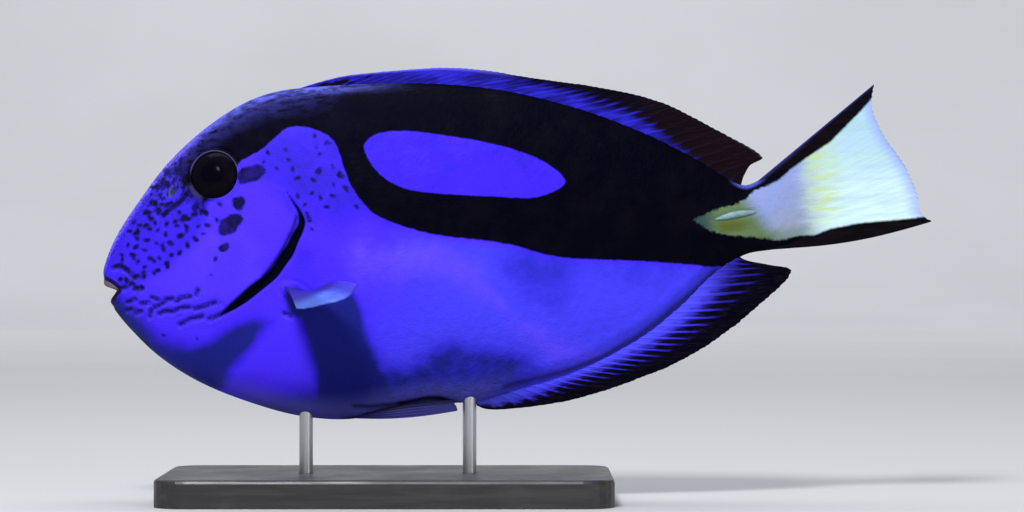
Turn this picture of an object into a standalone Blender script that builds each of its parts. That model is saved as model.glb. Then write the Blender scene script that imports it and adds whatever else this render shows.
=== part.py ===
"""A regal blue tang (Paracanthurus hepatus) as a life-size model on a plain two-rod stand.

The fish is shaped in its own frame, in millimetres: x runs aft from the tip of the snout, z is up and -y is
its left side. One smooth body is lofted and parted into head, trunk and tail base, the fins stand on its
back, belly and sides, and an empty carries the fish at its swimming pitch above the base of the stand.
"""
import math

import bmesh
import bpy
from mathutils import Matrix, Vector

MM = 0.001
GAP = 0.3
WELD = 0.000002
CAP_WELD = 0.000001
SHARP_ANGLE = 40.0

# Box that every cut reaches out to: x ahead of and behind the fish, z below and above it, and y to each side
AHEAD = -20.0
BEHIND = 260.0
BELOW = -60.0
ABOVE = 60.0
CUT_DEPTH = 40.0

# Outlines of the body, seen from its left: (x, z) along the back and along the belly
BACK_LINE = ((0.0, 0.8), (1.6, 6.2), (6.3, 13.9), (13.0, 21.9), (23.0, 32.2), (35.6, 41.2), (48.0, 47.0),
             (60.0, 48.9), (91.8, 47.1), (117.6, 42.6), (140.0, 35.0), (160.0, 25.2), (175.7, 15.0),
             (187.0, 6.6), (193.0, 7.6))
BELLY_LINE = ((0.0, -1.0), (1.6, -7.6), (6.4, -15.3), (13.6, -23.9), (24.3, -32.5), (38.1, -40.0),
              (52.0, -45.5), (66.2, -48.1), (78.0, -47.0), (90.0, -46.2), (103.0, -47.2), (116.3, -45.1),
              (134.2, -41.5), (152.5, -34.6), (165.0, -27.0), (176.3, -18.2), (185.5, -13.8), (193.0, -13.2))
HALF_WIDTHS = ((0.0, 1.8), (4.0, 4.2), (12.0, 7.4), (25.0, 10.6), (40.0, 12.9), (60.0, 14.4), (85.0, 14.2),
               (110.0, 12.2), (135.0, 8.9), (160.0, 5.6), (178.0, 4.0), (187.0, 3.2), (193.0, 1.1))
SECTION_POWER = 1.24
BODY_START = 0.02
BODY_END = 193.0
BODY_STATIONS = 50
STATION_CROWDING = 1.5
BODY_SIDES = 32

# The mouth stands slightly open: a notch between two lips that meet at its corners
MOUTH_CORNER = (4.6, -3.3)
UPPER_LIP_FRONT = (1.35, -0.75)
LOWER_LIP_FRONT = (2.75, -6.5)
MOUTH_NOTCH = (MOUTH_CORNER, (-4.0, 3.2), (-4.0, -10.4))
MOUTH_HALF_WIDTH = 4.0
MOUTH_FRONT_TAPER = 0.12
LIP_RADIUS = 1.4
LIP_END_SHARE = 0.45
LIP_BLUNTNESS = 0.8
LIP_STEPS = 12

# Eyes and nostrils, each given by its centre on the side of the head
EYE_AT = (35.95, 26.45)
EYE_RADIUS = 7.45
EYE_HALF_DEPTH = 4.4
EYE_SINK = 2.0
EYE_FACES = (20, 11)
NOSTRILS = (((22.6, 23.2), 0.9), ((25.6, 24.6), 0.6))
NOSTRIL_FACES = (10, 6)

# Gill line from nape to throat, where head and trunk part, and the cover that lies in front of it
GILL_LINE = ((63.0, 56.0), (60.0, 42.0), (56.0, 28.0), (55.4, 20.0), (58.3, 14.7), (59.5, 10.1), (58.2, 6.0),
             (54.6, 0.6), (50.2, -5.4), (44.2, -9.4), (37.1, -12.8), (32.6, -16.0), (29.6, -26.0),
             (28.0, -44.0))
COVER_REAR = ((54.4, 20.6), (57.0, 14.4), (57.6, 10.4), (55.6, 6.4), (51.6, 1.0), (46.6, -4.0),
              (40.4, -7.8), (34.9, -11.2), (31.4, -13.2))
COVER_FRONT = ((28.8, -11.6), (33.2, -6.2), (38.4, 1.0), (42.6, 10.0), (45.4, 18.4), (49.6, 21.8))
COVER_THICKNESS = 1.6
COVER_INNER_Y = 1.0
GILL_SLIT = GILL_LINE[3:12]
SLIT_DEPTH_BEHIND = 1.5
CHEEK_SPAN = (12.0, 75.0)

# Where the tail base parts from the trunk, and its folded spine on each side
TAIL_CUT = 170.0
SPINE_AT = (184.2, -1.0)
SPINE_HALF_SIZE = (5.8, 1.0, 0.95)
SPINE_FACES = (12, 7)

# Fins on the back, the belly and the tail: number of rays and outline of the free rim
DORSAL_RAYS = 28
DORSAL_ROOT = (61.5, 186.4)
DORSAL_RIM = ((63.0, 50.0), (77.0, 51.0), (92.0, 50.8), (104.0, 50.2), (116.0, 48.2), (130.0, 44.3),
              (149.0, 39.4), (166.0, 33.4), (182.0, 23.2), (194.3, 13.9), (190.4, 12.0), (188.0, 9.0))
ANAL_RAYS = 22
ANAL_ROOT = (104.5, 183.6)
ANAL_RIM = ((105.3, -50.0), (116.0, -50.6), (127.4, -50.3), (139.2, -48.7), (151.2, -46.0), (163.3, -42.5),
            (175.6, -36.9), (188.2, -29.0), (199.1, -20.1), (192.4, -17.4), (185.0, -15.3))
FOLDED_LEAN = ((0.0, 0.0), (0.25, 0.29), (0.5, 0.61), (0.78, 0.95), (1.0, 1.0))
CAUDAL_RAYS = 16
CAUDAL_ROOT = (7.2, -12.9)
CAUDAL_RIM = ((228.6, 30.9), (226.9, 21.0), (231.5, 10.6), (236.3, 2.0), (237.6, -5.0), (240.8, -10.1))
CAUDAL_LOWER_BOW = 2.6
CAUDAL_ROWS = 6
CAUDAL_THICKENING = 1.2

# Paired fins: pectorals rowed out to the sides, pelvics folded against the belly
PECTORAL_RAYS = 16
PECTORAL_ROOT = ((52.7, -7.8), (58.8, -12.2))
PECTORAL_SWEEP = ((0.0, 8.0), (0.5, 17.0), (0.85, 33.0), (1.0, 41.0))
PECTORAL_DROOP = ((0.0, 11.0), (0.5, 6.6), (0.75, 3.4), (1.0, -6.5))
PECTORAL_LENGTHS = ((0.0, 34.0), (0.15, 36.0), (0.5, 34.0), (0.85, 28.0), (1.0, 24.0))
PECTORAL_ARCH = (1.2, 2.6)
PECTORAL_ROWS = 5
PECTORAL_THICKENING = 0.75
PECTORAL_LOBE = (2.6, 2.4, 5.0)
PECTORAL_LOBE_TILT = 55.0
PECTORAL_LOBE_SINK = 0.6
PECTORAL_LOBE_FACES = (16, 10)
PECTORAL_STANDOFF = 1.2
PELVIC_RAYS = 4
PELVIC_ROOT = (63.4, 68.6)
PELVIC_TIPS = ((98.0, -49.2), (90.0, -47.0))
PELVIC_OUT = 1.7
PELVIC_BOW = 1.2
PELVIC_ROWS = 6

# Cross-section of a fin: ribs for the rays with a thinner web between them
RAY_THICKNESS = (1.5, 0.7)
WEB_THICKNESS = (0.8, 0.5)
RIB_FOOT = 0.27
WEB_REACH = 0.965
FIN_ROWS = 4

# The tail sweeps gently to the fish's right behind this station
SWAY_START = 108.0
SWAY_AT_TIP = 9.0
TOTAL_LENGTH = 240.8

# Pose of the fish in the room, and the stand below it, whose underside carries the origin
SNOUT_PLACE = (-82.4, 0.0, 63.8)
NOSE_DOWN = 6.5
BASE_SIZE = (130.0, 80.0, 8.0)
BASE_CORNER = 9.0
BASE_CORNER_STEPS = 6
BASE_EDGE = 1.0
BASE_EDGE_STEPS = 2
ROD_RADIUS = 2.0
ROD_SIDES = 24
ROD_SPREAD = 23.7
ROD_TOP = 32.5
ROD_FOOT_DEPTH = 5.0
ROD_CLEARANCE = 0.3

# Colours of the plain materials: base colour, metallic, roughness
BLUE = ((0.07, 0.03, 0.85), 0.0, 0.42)
YELLOW = ((0.86, 0.80, 0.22), 0.0, 0.45)
FIN_BLUE = ((0.05, 0.04, 0.55), 0.0, 0.42)
PALE_BLUE = ((0.35, 0.48, 0.95), 0.0, 0.35)
EYE_BLACK = ((0.008, 0.008, 0.012), 0.0, 0.08)
STEEL = ((0.58, 0.59, 0.60), 1.0, 0.28)
BASE_GREY = ((0.10, 0.10, 0.105), 0.0, 0.5)


def clear_scene():
    """Removes every object that is in the file."""
    for item in list(bpy.data.objects):
        bpy.data.objects.remove(item, do_unlink=True)


def new_collection(name):
    """A collection linked under the scene."""
    collection = bpy.data.collections.new(name)
    bpy.context.scene.collection.children.link(collection)
    return collection


def material(name, look):
    """A Principled material from (base colour, metallic, roughness)."""
    colour, metallic, roughness = look
    result = bpy.data.materials.new(name)
    result.use_nodes = True
    shader = result.node_tree.nodes["Principled BSDF"]
    shader.inputs["Base Color"].default_value = (*colour, 1.0)
    shader.inputs["Metallic"].default_value = metallic
    shader.inputs["Roughness"].default_value = roughness
    return result


def curve(points):
    """A smooth function through (t, value) points, made of cubic Hermite spans."""
    last = len(points) - 1
    slopes = []
    for i in range(last + 1):
        before = points[max(i - 1, 0)]
        after = points[min(i + 1, last)]
        slopes.append((after[1] - before[1]) / (after[0] - before[0]))

    def value(t):
        i = 0
        while i < last - 1 and t > points[i + 1][0]:
            i += 1
        span = points[i + 1][0] - points[i][0]
        f = (t - points[i][0]) / span
        start = (1 + 2 * f) * (1 - f) ** 2 * points[i][1] + f * (1 - f) ** 2 * span * slopes[i]
        end = f * f * (3 - 2 * f) * points[i + 1][1] + f * f * (f - 1) * span * slopes[i + 1]
        return start + end

    return value


def path(points):
    """A smooth path through (x, z) points as a function of the share of its length, from 0 to 1."""
    run = [0.0]
    for a, b in zip(points, points[1:]):
        run.append(run[-1] + math.dist(a, b))
    across = curve([(r / run[-1], p[0]) for r, p in zip(run, points)])
    up = curve([(r / run[-1], p[1]) for r, p in zip(run, points)])
    return lambda t: Vector((across(t), 0.0, up(t)))


def mix(a, b, f):
    """The value that lies the share f of the way from a to b."""
    return a + (b - a) * f


def by_station(points):
    """A smooth function of x that follows the blunt snout, where lines run as the root of x."""
    rooted = curve([(math.sqrt(x), value) for x, value in points])
    return lambda x: rooted(math.sqrt(max(x, 0.0)))


back = by_station(BACK_LINE)
belly = by_station(BELLY_LINE)
half_width = by_station(HALF_WIDTHS)


def side(x, z, inset=0.0):
    """How far the skin stands from the middle plane at a place on the side of the body."""
    middle = (back(x) + belly(x)) / 2
    height = (back(x) - belly(x)) / 2
    share = min(abs(z - middle) / height, 1.0)
    return (half_width(x) - inset) * (1 - share * share) ** (SECTION_POWER / 2)


def side_normal(x, z):
    """The outward direction of the skin at a place on the fish's right side."""
    step = 0.5
    along = (side(x + step, z) - side(x - step, z)) / (2 * step)
    up = (side(x, z + step) - side(x, z - step)) / (2 * step)
    return Vector((-along, 1.0, -up)).normalized()


def underside(x, y):
    """Height of the belly's skin at a small distance y from the middle plane."""
    middle = (back(x) + belly(x)) / 2
    height = (back(x) - belly(x)) / 2
    share = (abs(y) / half_width(x)) ** (2 / SECTION_POWER)
    return middle - height * math.sqrt(1 - share)


def object_from_bmesh(name, shape, collection):
    """A new object from a bmesh whose coordinates are in millimetres."""
    bmesh.ops.scale(shape, vec=(MM, MM, MM), verts=shape.verts)
    bmesh.ops.recalc_face_normals(shape, faces=shape.faces)
    if shape.calc_volume(signed=True) < 0:
        bmesh.ops.reverse_faces(shape, faces=shape.faces)
    mesh = bpy.data.meshes.new(name)
    shape.to_mesh(mesh)
    shape.free()
    result = bpy.data.objects.new(name, mesh)
    collection.objects.link(result)
    return result


def loft(name, rings, collection):
    """A closed skin over rings of points, with a flat cap at each end."""
    shape = bmesh.new()
    rows = [[shape.verts.new(point) for point in ring] for ring in rings]
    count = len(rows[0])
    for low, high in zip(rows, rows[1:]):
        for k in range(count):
            n = (k + 1) % count
            shape.faces.new((low[k], low[n], high[n], high[k]))
    shape.faces.new(rows[0])
    shape.faces.new(rows[-1])
    return object_from_bmesh(name, shape, collection)


def body_ring(x, inset=0.0):
    """Points around the cross-section of the body at a station."""
    middle = (back(x) + belly(x)) / 2
    height = (back(x) - belly(x)) / 2
    ring = []
    for k in range(BODY_SIDES):
        angle = 2 * math.pi * k / BODY_SIDES
        reach = abs(math.sin(angle)) ** SECTION_POWER
        y = math.copysign(reach * (half_width(x) - inset), math.sin(angle))
        ring.append((x, y, middle + height * math.cos(angle)))
    return ring


def whole_body(name, collection, first=BODY_START, last=BODY_END, inset=0.0):
    """The body between two stations, with its stations closer together at the snout."""
    rings = []
    for i in range(BODY_STATIONS + 1):
        x = mix(first, last, (i / BODY_STATIONS) ** STATION_CROWDING)
        rings.append(body_ring(x, inset))
    return loft(name, rings, collection)


def as_mesh(item, collection):
    """The mesh object that a curve object makes, with its caps welded on."""
    bpy.context.view_layer.update()
    depsgraph = bpy.context.evaluated_depsgraph_get()
    mesh = bpy.data.meshes.new_from_object(item.evaluated_get(depsgraph))
    shape = bmesh.new()
    shape.from_mesh(mesh)
    bmesh.ops.remove_doubles(shape, verts=shape.verts, dist=CAP_WELD)
    bmesh.ops.recalc_face_normals(shape, faces=shape.faces)
    shape.to_mesh(mesh)
    shape.free()
    result = bpy.data.objects.new(item.name + "_mesh", mesh)
    result.matrix_world = item.matrix_world.copy()
    collection.objects.link(result)
    bpy.data.objects.remove(item, do_unlink=True)
    return result


def prism(name, outline, collection, y_low=-CUT_DEPTH, y_high=CUT_DEPTH):
    """A flat outline in the fish's side view, with straight sides from one y to another."""
    flat = bpy.data.curves.new(name, "CURVE")
    flat.dimensions = "2D"
    flat.fill_mode = "BOTH"
    flat.extrude = (y_high - y_low) / 2 * MM
    spline = flat.splines.new("POLY")
    spline.points.add(len(outline) - 1)
    spline.use_cyclic_u = True
    for point, (x, z) in zip(spline.points, outline):
        point.co = (x * MM, z * MM, 0.0, 1.0)
    item = bpy.data.objects.new(name, flat)
    item.rotation_euler = (math.pi / 2, 0.0, 0.0)
    item.location = (0.0, (y_low + y_high) / 2 * MM, 0.0)
    collection.objects.link(item)
    return as_mesh(item, collection)


def tube(name, points, radius, collection):
    """A round bar along a smooth route, thinner towards both ends."""
    wire = bpy.data.curves.new(name, "CURVE")
    wire.dimensions = "3D"
    wire.bevel_depth = radius * MM
    wire.bevel_resolution = 2
    wire.use_fill_caps = True
    spline = wire.splines.new("POLY")
    spline.points.add(len(points) - 1)
    for i, (point, place) in enumerate(zip(spline.points, points)):
        point.co = (place[0] * MM, place[1] * MM, place[2] * MM, 1.0)
        point.radius = mix(LIP_END_SHARE, 1.0, math.sin(math.pi * i / (len(points) - 1)))
    item = bpy.data.objects.new(name, wire)
    collection.objects.link(item)
    return as_mesh(item, collection)


def ellipsoid(name, centre, half_size, turn, faces, collection):
    """A sphere stretched to three half sizes, turned and placed, with faces (round it, pole to pole)."""
    shape = bmesh.new()
    place = Matrix.Translation(centre) @ turn.to_4x4() @ Matrix.Diagonal((*half_size, 1.0))
    bmesh.ops.create_uvsphere(shape, u_segments=faces[0], v_segments=faces[1], radius=1.0, matrix=place)
    return object_from_bmesh(name, shape, collection)


def cylinder(name, centre, radius, height, collection):
    """An upright round bar."""
    shape = bmesh.new()
    bmesh.ops.create_cone(shape, cap_ends=True, segments=ROD_SIDES, radius1=radius, radius2=radius,
                          depth=height, matrix=Matrix.Translation(centre))
    return object_from_bmesh(name, shape, collection)


def combine(target, operation, *tools):
    """Applies one Boolean between the target and each tool, then removes the tools."""
    for tool in tools:
        step = target.modifiers.new("combine", "BOOLEAN")
        step.operation = operation
        step.object = tool
        step.solver = "EXACT"
        bpy.context.view_layer.update()
        depsgraph = bpy.context.evaluated_depsgraph_get()
        result = bpy.data.meshes.new_from_object(target.evaluated_get(depsgraph))
        target.modifiers.remove(step)
        target.data = result
        bpy.data.objects.remove(tool, do_unlink=True)
    return target


def copy_of(item, name, collection):
    """A second object with its own copy of the mesh."""
    result = item.copy()
    result.data = item.data.copy()
    result.name = name
    collection.objects.link(result)
    return result


def tidy_solid(item):
    """Welds points that fall together, splits faces into triangles and keeps the largest closed surface."""
    shape = bmesh.new()
    shape.from_mesh(item.data)
    bmesh.ops.remove_doubles(shape, verts=shape.verts, dist=WELD)
    bmesh.ops.dissolve_degenerate(shape, edges=shape.edges, dist=WELD)
    bmesh.ops.triangulate(shape, faces=shape.faces)
    groups = []
    unseen = set(shape.faces)
    while unseen:
        group = {unseen.pop()}
        front = list(group)
        while front:
            face = front.pop()
            for edge in face.edges:
                for other in edge.link_faces:
                    if other in unseen:
                        unseen.remove(other)
                        group.add(other)
                        front.append(other)
        groups.append(group)
    groups.sort(key=lambda group: sum(face.calc_area() for face in group))
    for group in groups[:-1]:
        bmesh.ops.delete(shape, geom=list(group), context="FACES")
    shape.to_mesh(item.data)
    shape.free()


def finish_piece(item, name, look, parts):
    """Names a piece, gives it its own material and moves it into the collection of parts."""
    item.name = name
    item.data.name = name
    item.data.materials.clear()
    item.data.materials.append(material(name, look))
    for collection in list(item.users_collection):
        collection.objects.unlink(item)
    parts.objects.link(item)
    item.data.shade_smooth()
    item.data.set_sharp_from_angle(angle=math.radians(SHARP_ANGLE))
    return item


def moved_line(points, distance):
    """The line through the same bends, moved sideways by a distance to the left of its run."""
    moved = []
    last = len(points) - 1
    for i, point in enumerate(points):
        before = points[max(i - 1, 0)]
        after = points[min(i + 1, last)]
        along = Vector((after[0] - before[0], after[1] - before[1])).normalized()
        moved.append((point[0] - along.y * distance, point[1] + along.x * distance))
    return moved


def ribbed_sheet(name, place, rays, collection, rows=FIN_ROWS, scale=1.0):
    """A fin: one closed sheet whose surface rises into a rib along each ray.

    place(u, v) gives a point and the direction across the sheet, for u from the first ray to the last and
    v from the root to the rim. Both faces are split into triangles alike.
    """
    columns = []
    for ray in range(rays - 1):
        columns += [(ray, True), (ray + RIB_FOOT, False), (ray + 1 - RIB_FOOT, False)]
    columns.append((rays - 1, True))
    shape = bmesh.new()
    near = []
    far = []
    for at, on_ray in columns:
        u = at / (rays - 1)
        reach = 1.0 if on_ray else WEB_REACH
        thickness = RAY_THICKNESS if on_ray else WEB_THICKNESS
        near_column = []
        far_column = []
        for row in range(rows + 1):
            v = reach * row / rows
            point, across = place(u, v)
            half = across * (max(mix(*thickness, v) * scale, WEB_THICKNESS[1]) / 2)
            near_column.append(shape.verts.new(point - half))
            far_column.append(shape.verts.new(point + half))
        near.append(near_column)
        far.append(far_column)
    for c in range(len(columns) - 1):
        for r in range(rows):
            for grid in (near, far):
                a, b, d, e = grid[c][r], grid[c + 1][r], grid[c + 1][r + 1], grid[c][r + 1]
                shape.faces.new((a, b, d))
                shape.faces.new((a, d, e))
        for r in (0, rows):
            shape.faces.new((near[c][r], near[c + 1][r], far[c + 1][r], far[c][r]))
    for c in (0, len(columns) - 1):
        for r in range(rows):
            shape.faces.new((near[c][r], near[c][r + 1], far[c][r + 1], far[c][r]))
    return object_from_bmesh(name, shape, collection)


def sway(item):
    """Sweeps the rear of a piece to the fish's right, more and more towards the tip of the tail."""
    for vertex in item.data.vertices:
        behind = vertex.co.x / MM - SWAY_START
        if behind > 0:
            vertex.co.y += SWAY_AT_TIP * MM * (behind / (TOTAL_LENGTH - SWAY_START)) ** 2


def lip(name, front, cutters):
    """One lip: a rounded bar that runs round the front of the mouth from corner to corner."""
    points = []
    for i in range(LIP_STEPS + 1):
        angle = math.pi * (i / LIP_STEPS - 0.5)
        forward = math.cos(angle)
        points.append((mix(MOUTH_CORNER[0], front[0], forward),
                       MOUTH_HALF_WIDTH * math.sin(angle) * (1 - MOUTH_FRONT_TAPER * forward),
                       mix(MOUTH_CORNER[1], front[1], forward ** LIP_BLUNTNESS)))
    return tube(name, points, LIP_RADIUS, cutters)


def eye_shape(name, sign, grow, cutters):
    """The eye, or its socket when grown, as a flattened ball square to the side of the head."""
    x, z = EYE_AT
    normal = side_normal(x, z)
    normal.y *= sign
    centre = Vector((x, sign * side(x, z), z)) - normal * EYE_SINK
    turn = Vector((0.0, 1.0, 0.0)).rotation_difference(normal).to_matrix()
    size = (EYE_RADIUS + grow, EYE_RADIUS + grow, EYE_HALF_DEPTH + grow)
    upright = Matrix.Rotation(math.pi / 2, 3, "X")
    return ellipsoid(name, centre, size, turn @ upright, EYE_FACES, cutters)


def make_head(body, cutters):
    """Head: the body in front of the gill line, with mouth, lips, sockets, nostrils and gill recesses."""
    outline = list(GILL_LINE) + [(AHEAD, BELOW), (AHEAD, ABOVE)]
    head = combine(copy_of(body, "head", cutters), "INTERSECT", prism("front", outline, cutters))
    combine(head, "DIFFERENCE", prism("notch", MOUTH_NOTCH, cutters))
    combine(head, "UNION", lip("upper_lip", UPPER_LIP_FRONT, cutters),
            lip("lower_lip", LOWER_LIP_FRONT, cutters))
    recess = moved_line(GILL_SLIT, SLIT_DEPTH_BEHIND) + moved_line(COVER_FRONT, GAP)
    hollow = prism("recess", recess, cutters)
    combine(hollow, "DIFFERENCE", whole_body("core", cutters, *CHEEK_SPAN, COVER_THICKNESS + GAP))
    combine(head, "DIFFERENCE", hollow)
    for sign in (-1, 1):
        combine(head, "DIFFERENCE", eye_shape("socket", sign, GAP, cutters))
        for (x, z), radius in NOSTRILS:
            pit = ellipsoid("pit", Vector((x, sign * side(x, z), z)), (radius, radius, radius),
                            Matrix.Identity(3), NOSTRIL_FACES, cutters)
            combine(head, "DIFFERENCE", pit)
    return head


def make_gill_cover(body, sign, cutters):
    """A curved plate flush with the cheek, free along its rear edge."""
    low, high = sorted((sign * COVER_INNER_Y, sign * CUT_DEPTH))
    cover = prism("cover", COVER_REAR + COVER_FRONT, cutters, low, high)
    combine(cover, "DIFFERENCE", whole_body("core", cutters, *CHEEK_SPAN, COVER_THICKNESS))
    return combine(cover, "INTERSECT", copy_of(body, "skin", cutters))


def pectoral_lobe(name, sign, grow, cutters):
    """The fleshy lobe that a pectoral fin stands on, or the room that it takes when grown."""
    (x0, z0), (x1, z1) = PECTORAL_ROOT
    x = (x0 + x1) / 2
    z = (z0 + z1) / 2
    turn = Matrix.Rotation(-math.radians(PECTORAL_LOBE_TILT), 3, "Y")
    centre = Vector((x, sign * (side(x, z) - PECTORAL_LOBE_SINK), z))
    size = [half + grow for half in PECTORAL_LOBE]
    return ellipsoid(name, centre, size, turn, PECTORAL_LOBE_FACES, cutters)


def behind_station(name, x, cutters):
    """The whole space behind a station."""
    return prism(name, ((x, ABOVE), (x, BELOW), (BEHIND, BELOW), (BEHIND, ABOVE)), cutters)


def make_torso(body, cutters):
    """Trunk: the body between the gill line and the tail cut, with a fleshy lobe under each pectoral fin."""
    outline = moved_line(GILL_LINE, GAP) + [(AHEAD, BELOW), (AHEAD, ABOVE)]
    torso = combine(copy_of(body, "torso", cutters), "DIFFERENCE", prism("front", outline, cutters),
                    behind_station("rear", TAIL_CUT - GAP / 2, cutters))
    for sign in (-1, 1):
        combine(torso, "UNION", pectoral_lobe("lobe", sign, 0.0, cutters))
    return torso


def spine_shape(name, sign, grow, cutters):
    """The folded spine on one side of the tail base, or its sheath when grown."""
    x, z = SPINE_AT
    normal = side_normal(x, z)
    normal.y *= sign
    turn = Vector((0.0, sign, 0.0)).rotation_difference(normal).to_matrix()
    centre = Vector((x, sign * side(x, z), z))
    size = [half + grow for half in SPINE_HALF_SIZE]
    return ellipsoid(name, centre, size, turn, SPINE_FACES, cutters)


def make_tail_base(body, cutters):
    """Tail base: the body behind the tail cut, with a sheath for the spine on each side."""
    rear = behind_station("rear", TAIL_CUT + GAP / 2, cutters)
    tail = combine(copy_of(body, "tail", cutters), "INTERSECT", rear)
    for sign in (-1, 1):
        combine(tail, "DIFFERENCE", spine_shape("sheath", sign, GAP, cutters))
    return tail


def upright_fin(name, root_span, edge, away, rim, rays, cutters):
    """A fin along the back or belly whose rays lean back to their places on the rim."""
    outline = path(rim)
    lean = curve(FOLDED_LEAN)

    def place(u, v):
        x = mix(*root_span, u)
        root = Vector((x, 0.0, edge(x) + away * GAP))
        return root.lerp(outline(lean(u)), v), Vector((0.0, 1.0, 0.0))

    return ribbed_sheet(name, place, rays, cutters)


def make_caudal_fin(cutters):
    """The tail fin, fanned from the end of the body, with a bowed lower edge."""
    outline = path(CAUDAL_RIM)

    def place(u, v):
        root = Vector((BODY_END + GAP, 0.0, mix(*CAUDAL_ROOT, u)))
        point = root.lerp(outline(u), v)
        point.z -= CAUDAL_LOWER_BOW * math.sin(math.pi * v) * u ** 3
        return point, Vector((0.0, 1.0, 0.0))

    return ribbed_sheet("caudal_fin", place, CAUDAL_RAYS, cutters, CAUDAL_ROWS, CAUDAL_THICKENING)


def make_pectoral_fin(name, sign, cutters):
    """A pectoral fin held out to the side, its first ray almost square to the body."""
    length = curve(PECTORAL_LENGTHS)
    sweep_at = curve(PECTORAL_SWEEP)
    droop_at = curve(PECTORAL_DROOP)

    def middle(u, v):
        x = mix(PECTORAL_ROOT[0][0], PECTORAL_ROOT[1][0], u)
        z = mix(PECTORAL_ROOT[0][1], PECTORAL_ROOT[1][1], u)
        root = Vector((x, sign * (side(x, z) + PECTORAL_STANDOFF), z))
        sweep = math.radians(sweep_at(u))
        droop = math.radians(droop_at(u))
        heading = Vector((math.sin(sweep), sign * math.cos(sweep), -math.tan(droop))).normalized()
        point = root + heading * length(u) * v
        point.z += mix(*PECTORAL_ARCH, u * u) * math.sin(math.pi * v)
        return point

    def place(u, v):
        step = 0.02
        along = middle(u, min(v + step, 1.0)) - middle(u, max(v - step, 0.0))
        over = middle(min(u + step, 1.0), v) - middle(max(u - step, 0.0), v)
        return middle(u, v), along.cross(over).normalized()

    fin = ribbed_sheet(name, place, PECTORAL_RAYS, cutters, PECTORAL_ROWS, PECTORAL_THICKENING)
    return combine(fin, "DIFFERENCE", pectoral_lobe("room", sign, GAP, cutters))


def make_pelvic_fin(name, sign, cutters):
    """A pelvic fin folded back beside the keel of the belly."""
    (x0, z0), (x1, z1) = PELVIC_TIPS

    def place(u, v):
        x = mix(*PELVIC_ROOT, u)
        inner = PELVIC_OUT - RAY_THICKNESS[0] / 2
        root = Vector((x, sign * PELVIC_OUT, underside(x, inner) - GAP))
        tip = Vector((mix(x0, x1, u), sign * PELVIC_OUT, mix(z0, z1, u)))
        point = root.lerp(tip, v)
        point.z -= PELVIC_BOW * (1 - u) * math.sin(math.pi * v)
        return point, Vector((0.0, 1.0, 0.0))

    return ribbed_sheet(name, place, PELVIC_RAYS, cutters, PELVIC_ROWS)


def make_base(cutters):
    """The flat base, with round corners, a soft edge and a blind hole for each rod."""
    length, width, height = BASE_SIZE
    shape = bmesh.new()
    size = Matrix.Diagonal((length, width, height, 1.0))
    bmesh.ops.create_cube(shape, size=1.0, matrix=Matrix.Translation((0.0, 0.0, height / 2)) @ size)
    upright = [edge for edge in shape.edges if abs(edge.verts[0].co.z - edge.verts[1].co.z) > height / 2]
    bmesh.ops.bevel(shape, geom=upright, offset=BASE_CORNER, segments=BASE_CORNER_STEPS, profile=0.5,
                    affect="EDGES")
    top = [edge for edge in shape.edges if min(vertex.co.z for vertex in edge.verts) > height - BASE_EDGE]
    bmesh.ops.bevel(shape, geom=top, offset=BASE_EDGE, segments=BASE_EDGE_STEPS, profile=0.5,
                    affect="EDGES")
    base = object_from_bmesh("base", shape, cutters)
    for sign in (-1, 1):
        centre = Vector((sign * ROD_SPREAD, 0.0, height))
        hole = cylinder("hole", centre, ROD_RADIUS + ROD_CLEARANCE, 2 * (ROD_FOOT_DEPTH + GAP), cutters)
        combine(base, "DIFFERENCE", hole)
    return base


def make_rod(name, sign, cutters):
    """A short round rod from its hole in the base up into the belly."""
    foot = BASE_SIZE[2] - ROD_FOOT_DEPTH
    centre = Vector((sign * ROD_SPREAD, 0.0, (foot + ROD_TOP) / 2))
    return cylinder(name, centre, ROD_RADIUS, ROD_TOP - foot, cutters)


def bore_for_rod(item, sign, cutters):
    """Cuts the hole in the belly that a rod ends in."""
    top = ROD_TOP + GAP
    centre = Vector((sign * ROD_SPREAD, 0.0, top / 2))
    combine(item, "DIFFERENCE", cylinder("bore", centre, ROD_RADIUS + ROD_CLEARANCE, top, cutters))


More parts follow.
